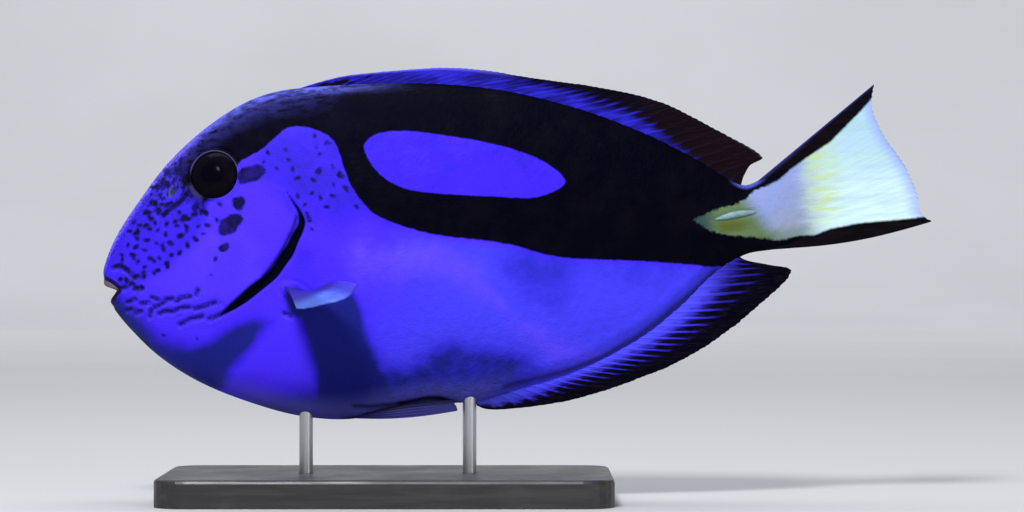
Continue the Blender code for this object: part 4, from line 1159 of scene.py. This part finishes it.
# Painted shade at the pectoral fin's root
PECTORAL_ROOT_SHADE = srgb(44, 38, 138)
PELVIC_BLUE = srgb(44, 42, 106)
PELVIC_BLACK = srgb(12, 11, 30)
PELVIC_RIDGE = srgb(46, 43, 114)
IRIS = srgb(9, 7, 14)
IRIS_RAYS = srgb(12, 9, 16)
PUPIL = srgb(6, 5, 12)
IRIS_RIM = srgb(4, 4, 8)
HORN = srgb(128, 162, 166)
HORN_DULL = srgb(104, 138, 136)
HORN_ROOT = srgb(122, 146, 168)
PAINT = srgb(38, 37, 38)
PAINT_GRAIN = srgb(52, 50, 50)
PAINT_WORN = srgb(64, 62, 62)
STEEL = srgb(184, 185, 188)
STEEL_BRIGHT = srgb(200, 201, 204)
FLOOR_NEAR = srgb(182, 183, 186)
FLOOR_FAR = srgb(226, 227, 230)
FLOOR_CLOUD = srgb(170, 171, 174)
SKIN_SHINE = srgb(150, 150, 255)
BLUE_GLOSS = (0.13, 0.13, 0.13)
BLACK_GLOSS = (0.03, 0.03, 0.03)
FIN_SHINE = srgb(160, 160, 255)


def wavy(n, place, scale, amount, detail=3.0):
    """A noise that swings to both sides of 0 by about the given amount."""
    return n.times(n.minus(n.noise(place, scale, detail, 0.62), 0.5), 2 * amount)


def tail_ground(n, place):
    """Pale ground of the tail base and fan: wedge, lilac root, yellow-green streaks, then white."""
    along, _, up = n.split(place)
    fibre = n.noise(n.stretch(place, (0.14, 1.0, 0.9)), 0.8, 3.0, 0.6)
    blur = wavy(n, place, 0.18, 5.0, 2.0)
    root = n.blend(n.ramp(n.plus(n.minus(along, up), blur), 192.0, 210.0), PALE, PALE_GREY)
    root = n.blend(n.ramp(up, -5.5, -9.5, 0.0, 0.8), root, PALE_GREEN)
    ground = n.blend(n.ramp(n.plus(along, n.times(up, 0.6)), 185.5, 193.0), WEDGE, root)
    ground = n.blend(n.ramp(along, 180.5, 174.0), ground, WEDGE_TIP)
    low = n.between(up, -7.8, -5.6, -4.0, -2.8)
    low = n.times(low, n.between(along, 177.0, 180.5, 183.0, 191.0))
    ground = n.blend(n.times(low, 0.85), ground, OLIVE)
    soft = n.noise(n.stretch(place, (0.08, 1.0, 1.0)), 0.42, 2.0, 0.5)
    white = n.blend(n.ramp(up, -2.0, 20.0), WHITE, WHITE_UPPER)
    white = n.blend(n.ramp(soft, 0.38, 0.66, 0.0, 0.6), white, FAN_SHADOW)
    reach = n.plus(along, n.times(fibre, 7.0))
    ground = n.blend(n.ramp(reach, 205.0, 217.0), ground, white)
    streak = n.between(along, 203.0, 209.5, 210.5, 220.0)
    streak = n.times(streak, n.ramp(fibre, 0.34, 0.64, 0.15, 0.85))
    return n.blend(n.times(streak, n.ramp(up, -10.0, -3.0)), ground, STREAK)


def pale_share(n, place, along):
    """How far a place lies in the pale field, with a torn border that grows smooth on the fin."""
    tear = n.times(wavy(n, place, 0.7, 0.9), n.ramp(along, 190.0, 206.0, 1.0, 0.3))
    return n.ramp(n.plus(n.mark("pale"), tear), -0.35, 0.5)


def skin_material():
    """Satin skin: violet blue with painted light and shade, a black band with a blue oval and a painted
    sheen, dark spots and a pale field at the tail.
    """
    n = Nodes("skin")
    place = n.mark("place", vector=True)
    mottle = n.noise(place, 0.55, 4.0, 0.6)
    fine = n.noise(place, 2.6, 3.0, 0.6)
    along, _, up = n.split(place)
    crown = n.mark("crown")
    # Blue ground, cooler towards the tail, with painted light and shade from the broad tones, some of which
    # only deepen the blue, and a painted rim light along the forehead
    tone = n.plus(n.mark("tone"), wavy(n, place, 0.09, 0.3))
    tone = n.plus(tone, n.times(wavy(n, place, 0.26, 0.2), n.ramp(along, 50.0, 70.0)))
    cool = n.ramp(n.minus(along, n.times(up, 0.7)), 70.0, 118.0)
    cool = n.times(cool, n.ramp(n.mark("band"), 1.0, -3.0))
    blue = n.blend(cool, BLUE, BLUE_REAR)
    blue = n.blend(n.ramp(tone, 0.0, 1.0), blue, BLUE_PAINTED_LIGHT)
    blue = n.blend(n.ramp(tone, 0.0, -0.6, 0.0, 0.9), blue, DEEPEN, "MULTIPLY")
    blue = n.blend(n.ramp(tone, -0.4, -1.05, 0.0, 0.95), blue, BLUE_SHADE)
    # Painted shade along the underside: dull grey under the belly, deeper blue under the tail base
    depth = n.mark("depth")
    underside_shade = n.between(along, 26.0, 44.0, 100.0, 122.0)
    blue = n.blend(n.times(underside_shade, n.ramp(depth, 9.0, 0.5, 0.0, 0.85)), blue, BELLY_SHADE_GREY)
    underside_shade = n.ramp(along, 132.0, 160.0, 0.0, 0.5)
    blue = n.blend(n.times(underside_shade, n.ramp(depth, 7.0, 0.5)), blue, BLUE_SHADE)
    veil = n.times(n.ramp(crown, 17.0, 2.0), n.ramp(along, 12.0, 26.0))
    blue = n.blend(n.times(veil, n.ramp(mottle, 0.35, 0.65, 0.3, 0.9)), blue, BLUE_VEIL)
    # Painted rim light along the top of the forehead, broken up by grit
    rim = n.times(n.ramp(n.plus(crown, wavy(n, place, 0.9, 0.8)), 2.8, 0.2),
                 n.ramp(along, 42.0, 30.0))
    grit = n.noise(place, 1.4, 3.0, 0.6)
    blue = n.blend(n.times(rim, n.ramp(grit, 0.4, 0.6, 0.85, 0.3)), blue, BLUE_PAINTED_RIM_LIGHT)
    # Dark mottling of the forehead, thicker towards the band, and the dark dots and patches
    near = n.times(n.ramp(crown, 21.0, 5.0), n.ramp(along, 2.0, 17.0))
    near = n.times(near, n.ramp(n.mark("band"), -19.0, -2.0))
    near = n.times(near, n.ramp(along, 44.0, 36.0))
    fleck = n.plus(n.noise(place, 0.62, 3.0, 0.6), n.times(near, 0.13))
    fleck = n.times(n.ramp(fleck, 0.54, 0.68), n.math("MINIMUM", n.times(near, 2.5), 1.0))
    fleck = n.times(fleck, n.ramp(crown, 0.4, 2.6, 0.1, 0.82))
    speck = n.plus(n.mark("spots"), wavy(n, place, 2.2, 0.45))
    speck = n.plus(speck, wavy(n, place, 0.6, 0.4))
    speck = n.times(n.ramp(speck, -0.55, 0.4), n.ramp(n.noise(place, 0.3, 2.0), 0.35, 0.6, 0.86, 0.98))
    gritty = n.times(n.ramp(crown, 9.0, 1.0), n.ramp(along, 40.0, 28.0))
    gritty = n.times(gritty, n.ramp(grit, 0.52, 0.62, 0.0, 0.55))
    colour = n.blend(n.math("MAXIMUM", n.math("MAXIMUM", speck, fleck), gritty), blue, SPOT)
    # Black band: a soft torn edge on the forehead and a firm one along the flank, with a painted sheen at
    # the nape and painted highlights along the crest of the back and atop the tail base
    tear = n.times(wavy(n, place, 0.4, 4.5, 4.0), n.ramp(along, 44.0, 34.0))
    tear = n.times(tear, n.ramp(crown, 24.0, 10.0))
    band = n.plus(n.plus(n.mark("band"), tear), wavy(n, place, 0.55, 0.4, 4.0))
    band = n.ramp(n.math("DIVIDE", band, n.ramp(along, 33.0, 44.0, 1.5, 0.3)), -1.0, 1.0)
    oval = n.ramp(n.plus(n.mark("oval"), wavy(n, place, 0.55, 0.3)), -0.28, 0.28)
    strands = n.noise(n.stretch(place, (0.45, 1.0, 1.1)), 0.5, 4.0, 0.65)
    # Painted sheen along the nape, and painted highlights along the crest and atop the tail base
    painted_sheen = n.times(n.ramp(crown, 10.0, 1.0), n.ramp(along, 80.0, 54.0))
    ink = n.blend(n.ramp(n.noise(place, 0.12, 3.0), 0.4, 0.7), INK, INK_BROWN)
    ink = n.blend(n.times(painted_sheen, n.ramp(strands, 0.3, 0.62)), ink, NAPE_PAINTED_SHEEN)
    crest_highlight = n.times(n.ramp(crown, 3.6, 0.2), n.ramp(along, 98.0, 64.0))
    ink = n.blend(n.times(crest_highlight, n.ramp(strands, 0.36, 0.6, 0.25, 0.95)), ink, CREST_PAINTED_HIGHLIGHT)
    stalk_highlight = n.times(n.ramp(crown, 1.6, 0.4), n.ramp(along, 183.0, 187.0))
    ink = n.blend(n.times(n.times(stalk_highlight, n.ramp(along, 195.0, 191.0)), 0.65), ink, CREST_PAINTED_HIGHLIGHT)
    black = n.times(band, n.minus(1.0, oval))
    colour = n.blend(black, colour, ink)
    # Pale field of the tail base
    colour = n.blend(pale_share(n, place, along), colour, tail_ground(n, place))
    # Painted grey shade at the fins, then painted shade in the gill opening, folds and creases with a
    # painted highlight below each crease, the orbit, the nostrils' painted shade and highlight, lips and
    # mouth
    colour = n.blend(n.times(n.mark("shade"), 0.78), colour, SHADE_GREY)
    wrinkles = n.noise(n.stretch(place, (0.5, 1.0, 1.7)), 0.36, 1.0, 0.4)
    wrinkles = n.ramp(n.math("ABSOLUTE", n.minus(wrinkles, 0.5)), 0.04, 0.0)
    wrinkles = n.times(wrinkles, n.mark("wrinkle"))
    # Painted shade in the creases and wrinkles, and a painted highlight on each crease's lower lip
    uneven = n.noise(n.stretch(place, (1.0, 1.0, 1.6)), 0.75, 3.0, 0.6)
    crease = n.times(n.mark("crease"), n.ramp(uneven, 0.3, 0.54, 0.4, 1.15))
    crease_lip_highlight = n.times(n.mark("crease_lip_highlight"), n.ramp(uneven, 0.4, 0.62, 0.1, 0.4))
    colour = n.blend(crease_lip_highlight, colour, CREASE_LIP_HIGHLIGHT_BLUE)
    wrinkles = n.math("MAXIMUM", n.times(wrinkles, 0.4), crease)
    colour = n.blend(n.times(wrinkles, 0.85), colour, CREASE_SHADE)
    # Painted shadow along the fold before the gill cover's edge and above the pelvic fins
    colour = n.blend(n.times(n.mark("fold_shadow"), 0.92), colour, OPENING_SHADE_BLACK)
    # Painted highlight on each nostril's front rim and painted shade in its pit
    nostril = n.mark("nostril")
    lip = n.times(n.ramp(nostril, 1.9, 1.2), n.mark("nostril_highlight_side"))
    colour = n.blend(n.times(lip, 0.45), colour, NOSTRIL_HIGHLIGHT)
    colour = n.blend(n.ramp(nostril, 1.5, 0.5), colour, NOSTRIL_PIT_SHADE)
    # Painted shade in the gill opening
    opening_shade = n.ramp(n.mark("gill"), -0.25, 0.3)
    colour = n.blend(opening_shade, colour, OPENING_SHADE_BLACK)
    line = n.times(n.ramp(n.mark("eye_line"), 0.28, 0.04), n.mark("eye_arc"))
    colour = n.blend(n.times(line, 0.7), colour, ORBIT_PALE)
    colour = n.blend(n.times(n.mark("eye_wedge"), 0.8), colour, ORBIT_WEDGE)
    colour = n.blend(n.times(n.mark("lip"), 0.95), colour, LIP_DARK)
    inner = n.blend(n.ramp(up, -2.6, -3.6), LIP_INNER, LIP_LOWER)
    colour = n.blend(n.ramp(n.mark("mouth"), 0.03, 0.14), colour, inner)
    colour = n.blend(n.ramp(n.mark("mouth"), 0.55, 0.95), colour, MOUTH_INSIDE)
    # Minute scales, laid in oblique rows, and a leathery grain that is coarser on the head
    scales = n.cells(n.stretch(place, (1.0, 1.0, 1.35)), 1.75)
    head = n.times(n.ramp(along, 48.0, 20.0), n.ramp(crown, 24.0, 8.0, 0.15, 1.0))
    grain = n.plus(n.times(scales, 0.5), n.times(fine, 0.5))
    grain = n.plus(grain, n.times(n.noise(place, 1.1, 2.0), n.times(head, 2.2)))
    grain = n.minus(grain, n.times(wrinkles, 0.9))
    dents = n.times(n.noise(place, 0.4, 4.0, 0.6), n.ramp(along, 60.0, 84.0, 0.0, 3.8))
    grain = n.plus(grain, dents)
    n.bump(grain, 0.26, 0.0006)
    shine = n.blend(n.math("MAXIMUM", black, opening_shade), BLUE_GLOSS, BLACK_GLOSS)
    return n.finish(colour, n.ramp(mottle, 0.3, 0.7, 0.44, 0.58), Specular_IOR_Level=shine,
                    Specular_Tint=SKIN_SHINE)


def fin_base(name):
    """A fin's nodes, its place, its rays' ridges, the share from root to rim and the ray's number."""
    n = Nodes(name)
    place = n.mark("place", vector=True)
    return n, place, n.mark("ridge"), n.mark("along"), n.mark("across")


def fin_finish(n, place, colour):
    """Finish of the fins of back and belly: a fine lengthwise grain and a faint violet shine."""
    n.bump(n.noise(n.stretch(place, (0.6, 1.0, 2.0)), 2.2, 3.0), 0.25, 0.0004)
    return n.finish(colour, 0.5, Specular_IOR_Level=0.04, Specular_Tint=FIN_SHINE)


def dorsal_material():
    """Blue strip along the base, streaked by the rays, under a black rim that turns brown at the rear;
    painted shade fills the gaps between the folded front spines.
    """
    n, place, ridge, reach, _ = fin_base("dorsal_fin")
    along, _, _ = n.split(place)
    fibre = n.noise(n.stretch(place, (0.22, 1.0, 1.6)), 0.9, 4.0, 0.6)
    strip = n.plus(n.ramp(along, 104.0, 124.0, 3.4, 0.0), n.ramp(along, 158.0, 180.0, 3.4, -1.6))
    level = n.minus(n.mark("height"), strip)
    level = n.minus(level, n.times(ridge, n.ramp(along, 110.0, 150.0, 0.4, 2.2)))
    level = n.plus(level, n.times(n.minus(fibre, 0.5), 5.0))
    soft = n.noise(n.stretch(place, (0.2, 1.0, 1.0)), 0.5, 2.0, 0.5)
    blue = n.blend(n.ramp(soft, 0.4, 0.62), DORSAL_BLUE, DORSAL_DEEP)
    blue = n.blend(n.ramp(along, 160.0, 180.0, 0.0, 0.8), blue, DORSAL_REAR)
    rim = n.blend(n.ramp(along, 140.0, 182.0), INK, DORSAL_BROWN)
    rim = n.blend(n.times(n.ramp(fibre, 0.5, 0.72, 0.0, 0.5), n.ramp(along, 130.0, 170.0)), rim,
                  DORSAL_STREAK)
    colour = n.blend(n.ramp(level, -2.2, 1.6), blue, rim)
    # Painted shade in the gaps between the folded front spines
    spine_gap_shade = n.ramp(n.plus(n.times(ridge, 0.12), soft), 0.58, 0.44)
    front = n.times(n.ramp(along, 104.0, 80.0), spine_gap_shade)
    colour = n.blend(front, colour, DORSAL_SPINE_GAP_SHADE)
    edge = n.times(n.ramp(reach, 0.84, 0.99), n.ramp(along, 128.0, 112.0))
    colour = n.blend(n.times(edge, 0.7), colour, DORSAL_EDGE)
    tip = n.times(n.ramp(along, 184.0, 190.0), n.ramp(reach, 0.955, 0.995))
    colour = n.blend(n.times(tip, 0.5), colour, DORSAL_TIP)
    return fin_finish(n, place, colour)


def anal_material():
    """Light blue along the base, black streaks between the rays, and a broad black rim."""
    n, place, ridge, reach, _ = fin_base("anal_fin")
    along, _, _ = n.split(place)
    fibre = n.noise(n.stretch(place, (0.3, 1.0, 1.6)), 1.1, 4.0, 0.6)
    level = n.minus(reach, n.times(ridge, n.ramp(along, 112.0, 150.0, 0.16, 0.34)))
    level = n.plus(level, n.times(n.minus(fibre, 0.5), 0.5))
    level = n.minus(level, n.ramp(along, 136.0, 106.0, 0.0, 0.34))
    blue = n.blend(n.ramp(reach, 0.1, 0.6), ANAL_BLUE, ANAL_DEEP)
    blue = n.blend(n.ramp(along, 128.0, 106.0), blue, ANAL_FRONT)
    blue = n.blend(n.ramp(along, 168.0, 182.0, 0.0, 0.8), blue, ANAL_REAR)
    rim = n.blend(n.ramp(fibre, 0.45, 0.7), INK, ANAL_BROWN)
    colour = n.blend(n.ramp(level, 0.16, 0.48), blue, rim)
    border = n.minus(reach, n.ramp(along, 136.0, 106.0, 0.0, 0.17))
    colour = n.blend(n.ramp(border, 0.6, 0.78), colour, rim)
    return fin_finish(n, place, colour)


def caudal_material():
    """Pale fan, continued from the tail base, with soft rays between two black edges and a painted highlight
    along the upper one.
    """
    n, place, ridge, reach, ray = fin_base("caudal_fin")
    along, _, _ = n.split(place)
    fibre = n.noise(n.stretch(place, (0.16, 1.0, 1.2)), 0.9, 3.0, 0.6)
    web = n.times(n.minus(1.0, ridge), n.ramp(along, 209.0, 219.0, 0.0, 0.16))
    web = n.plus(web, n.ramp(fibre, 0.48, 0.7, 0.0, 0.18))
    colour = n.blend(n.times(web, n.ramp(along, 205.0, 216.0)), tail_ground(n, place),
                     FAN_WEB)
    hind = n.ramp(reach, 0.9, 1.0)
    colour = n.blend(n.times(hind, 0.6), colour, FAN_HIND)
    black = n.blend(n.ramp(fibre, 0.4, 0.7), FAN_BLACK, FAN_BROWN)
    pale = pale_share(n, place, along)
    colour = n.blend(pale, black, colour)
    veil = n.times(n.ramp(ray, 1.1, 0.3), n.ramp(along, 212.0, 198.0, 0.0, 0.6))
    colour = n.blend(n.times(veil, n.minus(1.0, pale)), colour, FAN_VEIL)
    # Painted highlight along the upper edge of the fan
    top_highlight = n.times(n.ramp(ray, 0.4, 0.05), n.ramp(reach, 1.0, 0.2, 0.3, 0.8))
    colour = n.blend(top_highlight, colour, FAN_TOP_HIGHLIGHT)
    n.bump(n.noise(n.stretch(place, (0.4, 1.0, 2.0)), 2.0, 3.0), 0.2, 0.0004)
    return n.finish(colour, 0.5, Specular_IOR_Level=n.ramp(pale, 0.0, 1.0, 0.02, 0.12))


def pectoral_material():
    """Thin pale blue membrane with whiter rays, darkened by painted shade at its root."""
    n, place, ridge, reach, ray = fin_base("pectoral_fin")
    colour = n.blend(n.ramp(ray, 6.0, 9.0), PECTORAL_FRONT, PECTORAL_PALE)
    colour = n.blend(n.times(ridge, 0.35), colour, PECTORAL_RIDGE)
    colour = n.blend(n.ramp(n.noise(place, 0.35, 3.0), 0.45, 0.62, 0.0, 0.5), colour, PECTORAL_CLOUD)
    colour = n.blend(n.ramp(ray, 9.5, 13.0, 0.0, 0.9), colour, PECTORAL_INNER)
    colour = n.blend(n.ramp(ray, 13.5, 15.0, 0.0, 0.9), colour, PECTORAL_LAST)
    # Painted shade near the root, reaching further out on the front rays
    fold_shadow = n.plus(reach, n.times(n.math("MINIMUM", ray, 10.0), 0.025))
    colour = n.blend(n.ramp(fold_shadow, 0.98, 0.74), colour, PECTORAL_ROOT_SHADE)
    n.bump(n.noise(place, 2.0, 3.0), 0.2, 0.0003)
    return n.finish(colour, 0.45, Specular_IOR_Level=0.2)


def pelvic_material():
    """Blue fin with a black inner half."""
    n, place, ridge, _, ray = fin_base("pelvic_fin")
    colour = n.blend(n.ramp(ray, 2.8, 4.4), PELVIC_BLUE, PELVIC_BLACK)
    colour = n.blend(n.times(ridge, 0.25), colour, PELVIC_RIDGE)
    n.bump(n.noise(place, 2.0, 3.0), 0.2, 0.0003)
    return n.finish(colour, 0.5, Specular_IOR_Level=0.08)


def eye_material():
    """Almost black eye: black pupil in a dark brown iris with faint rays."""
    n = Nodes("eye")
    radial = n.mark("radial")
    ring = n.tree.nodes.new("ShaderNodeCombineXYZ")
    n.feed(ring.inputs[0], n.mark("turn_x"))
    n.feed(ring.inputs[1], n.mark("turn_z"))
    n.feed(ring.inputs[2], n.times(radial, 0.06))
    rays = n.noise(ring.outputs[0], 7.0, 4.0, 0.6)
    iris = n.blend(n.ramp(rays, 0.35, 0.7), IRIS, IRIS_RAYS)
    colour = n.blend(n.ramp(radial, 3.0, 4.2), PUPIL, iris)
    colour = n.blend(n.ramp(radial, 5.8, 6.8, 0.0, 0.6), colour, IRIS_RIM)
    return n.finish(colour, 0.14, Specular_IOR_Level=0.014)


def spine_material():
    """Smooth pale blue-green horn, darker towards its root."""
    n = Nodes("tail_spine")
    place = n.position()
    colour = n.blend(n.ramp(n.noise(n.stretch(place, (300.0, 900.0, 900.0)), 1.0, 3.0), 0.35, 0.7),
                     HORN, HORN_DULL)
    colour = n.blend(n.ramp(n.mark("share"), 0.55, 0.95), colour, HORN_ROOT)
    n.bump(n.noise(n.stretch(place, (400.0, 1600.0, 1600.0)), 1.0, 3.0), 0.2, 0.0003)
    return n.finish(colour, 0.45, Specular_IOR_Level=0.15)


def base_material():
    """Dark satin paint over fine straight wood grain."""
    n = Nodes("stand_base")
    place = n.position()
    grain = n.noise(n.stretch(place, (30.0, 420.0, 420.0)), 1.0, 5.0, 0.6)
    wear = n.noise(place, 60.0, 4.0, 0.6)
    colour = n.blend(n.ramp(grain, 0.4, 0.65), PAINT, PAINT_GRAIN)
    colour = n.blend(n.ramp(wear, 0.55, 0.75, 0.0, 0.4), colour, PAINT_WORN)
    n.bump(grain, 0.3, 0.0004)
    return n.finish(colour, n.ramp(wear, 0.3, 0.7, 0.34, 0.48), Specular_IOR_Level=0.45)


def rod_material():
    """Brushed steel with fine marks along the rod."""
    n = Nodes("stand_rod")
    place = n.position()
    brush = n.noise(n.stretch(place, (2400.0, 2400.0, 60.0)), 1.0, 4.0, 0.6)
    colour = n.blend(n.ramp(brush, 0.35, 0.65), STEEL, STEEL_BRIGHT)
    n.bump(brush, 0.04, 0.0001)
    return n.finish(colour, n.ramp(brush, 0.3, 0.7, 0.3, 0.36), Metallic=1.0)


def make_stage():
    """A pale floor that curves up into a backdrop far behind the model."""
    profile = [(FLOOR_FRONT, 0.0), (FLOOR_BACK, 0.0)]
    for i in range(1, COVE_STEPS + 1):
        turn = math.pi / 2 * i / COVE_STEPS
        profile.append((FLOOR_BACK + COVE_RADIUS * math.sin(turn), COVE_RADIUS * (1 - math.cos(turn))))
    profile.append((FLOOR_BACK + COVE_RADIUS, BACKDROP_TOP))
    points = np.array([[(x, y, z) for x in (-STAGE_REACH, STAGE_REACH)] for y, z in profile])
    n = Nodes("stage")
    place = n.position()
    _, depth, _ = n.split(place)
    tone = n.blend(n.ramp(depth, 0.2, 3.2), FLOOR_NEAR, FLOOR_FAR)
    tone = n.blend(n.ramp(n.noise(place, 3.0, 3.0), 0.3, 0.7, 0.0, 0.12), tone, FLOOR_CLOUD)
    floor = mesh_object("floor", points, grid_faces(len(profile), 2, wrap=False, flip=True), {},
                        n.finish(tone, 0.7, Specular_IOR_Level=0.2))


def area_light(name, place, target, size, power):
    """A rectangular soft light aimed at a point."""
    lamp = bpy.data.lights.new(name, "AREA")
    lamp.shape = "RECTANGLE"
    lamp.size, lamp.size_y = size
    lamp.energy = power
    item = bpy.data.objects.new(name, lamp)
    item.location = place
    item.rotation_euler = (Vector(target) - Vector(place)).to_track_quat("-Z", "Y").to_euler()
    bpy.context.scene.collection.objects.link(item)


def make_lights():
    """A soft key from above the camera's side, lights overhead and on the backdrop, and weak fill."""
    middle = (0.03, 0.0, 0.07)
    area_light("key", (-0.2, -0.92, 0.98), middle, (0.26, 0.26), 18.0)
    area_light("overhead", (0.02, 0.3, 1.1), middle, (1.2, 0.6), 9.0)
    area_light("fill", (0.9, -1.0, 0.35), middle, (0.8, 0.8), 2.5)
    area_light("backdrop", (0.0, 1.3, 2.2), (0.0, FLOOR_BACK + COVE_RADIUS, 0.6), (3.0, 0.8), 45.0)
    world = bpy.data.worlds.new("studio")
    world.use_nodes = True
    world.node_tree.nodes["Background"].inputs["Color"].default_value = (0.86, 0.9, 1.0, 1.0)
    world.node_tree.nodes["Background"].inputs["Strength"].default_value = 0.28
    bpy.context.scene.world = world


def make_camera():
    """A level camera square to the fish's left side."""
    lens = bpy.data.cameras.new("camera")
    lens.sensor_width = 36.0
    lens.lens = lens.sensor_width * VIEW_DISTANCE / VIEW_WIDTH
    lens.clip_start = 0.05
    lens.clip_end = 20.0
    camera = bpy.data.objects.new("camera", lens)
    camera.location = (VIEW_CENTRE[0] * MM, -VIEW_DISTANCE * MM, VIEW_CENTRE[1] * MM)
    camera.rotation_euler = (math.pi / 2, 0.0, 0.0)
    bpy.context.scene.collection.objects.link(camera)
    bpy.context.scene.camera = camera
    bpy.context.scene.view_settings.view_transform = "Standard"


def place_piece(piece, slot, *nodes):
    """A finished piece rides with the model and stands for its CAD nodes; its slot is not used."""
    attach(piece, "root")
    if nodes:
        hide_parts(*nodes)


make_camera()
make_stage()
make_lights()

skin = skin_material()
place_piece(make_skin(skin), "skin_blue", "head", "torso", "caudal_peduncle", "gill_cover_left",
            "gill_cover_right")
place_piece(make_fin("dorsal", upright_middle(DORSAL_ROOT, back, 1, DORSAL_RIM), DORSAL_RAYS,
                     dorsal_material()), "fin_blue", "dorsal_fin")
place_piece(make_fin("anal", upright_middle(ANAL_ROOT, belly, -1, ANAL_RIM), ANAL_RAYS,
                     anal_material(), flip=True, branching=0.18), "fin_blue", "anal_fin")
place_piece(make_fin("caudal", caudal_middle, CAUDAL_RAYS, caudal_material(), per_ray=18, rows=60, flip=True,
                     ray_thickness=(0.86, 0.35), web_thickness=(0.8, 0.3), notch=0.006, ragged=0.004),
            "fin_tail", "caudal_fin")
pectoral = pectoral_material()
pelvic = pelvic_material()
eye = eye_material()
spine = spine_material()
for word, sign in (("left", -1), ("right", 1)):
    place_piece(make_orbit(word, sign, skin), "skin_blue")
    place_piece(make_eye(word, sign, eye), "eye", "eye_" + word)
    place_piece(make_spine(word, sign, spine), "spine_pale", "tail_spine_" + word)
    fin = make_fin("pectoral_" + word, pectoral_middle(sign), PECTORAL_RAYS, pectoral, rows=40,
                   ray_thickness=(0.86, 0.38), web_thickness=(0.62, 0.3), upright=False, flip=sign > 0)
    place_piece(fin, "fin_pale", "pectoral_fin_" + word)
    fin = make_fin("pelvic_" + word, pelvic_middle(sign), PELVIC_RAYS, pelvic, rows=50,
                   ray_thickness=(1.3, 0.6), web_thickness=(0.9, 0.5))
    place_piece(fin, "fin_blue", "pelvic_fin_" + word)

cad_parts["stand_base"].data.materials[0] = base_material()
rod = rod_material()
for word in ("front", "rear"):
    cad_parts["stand_rod_" + word].data.materials[0] = rod
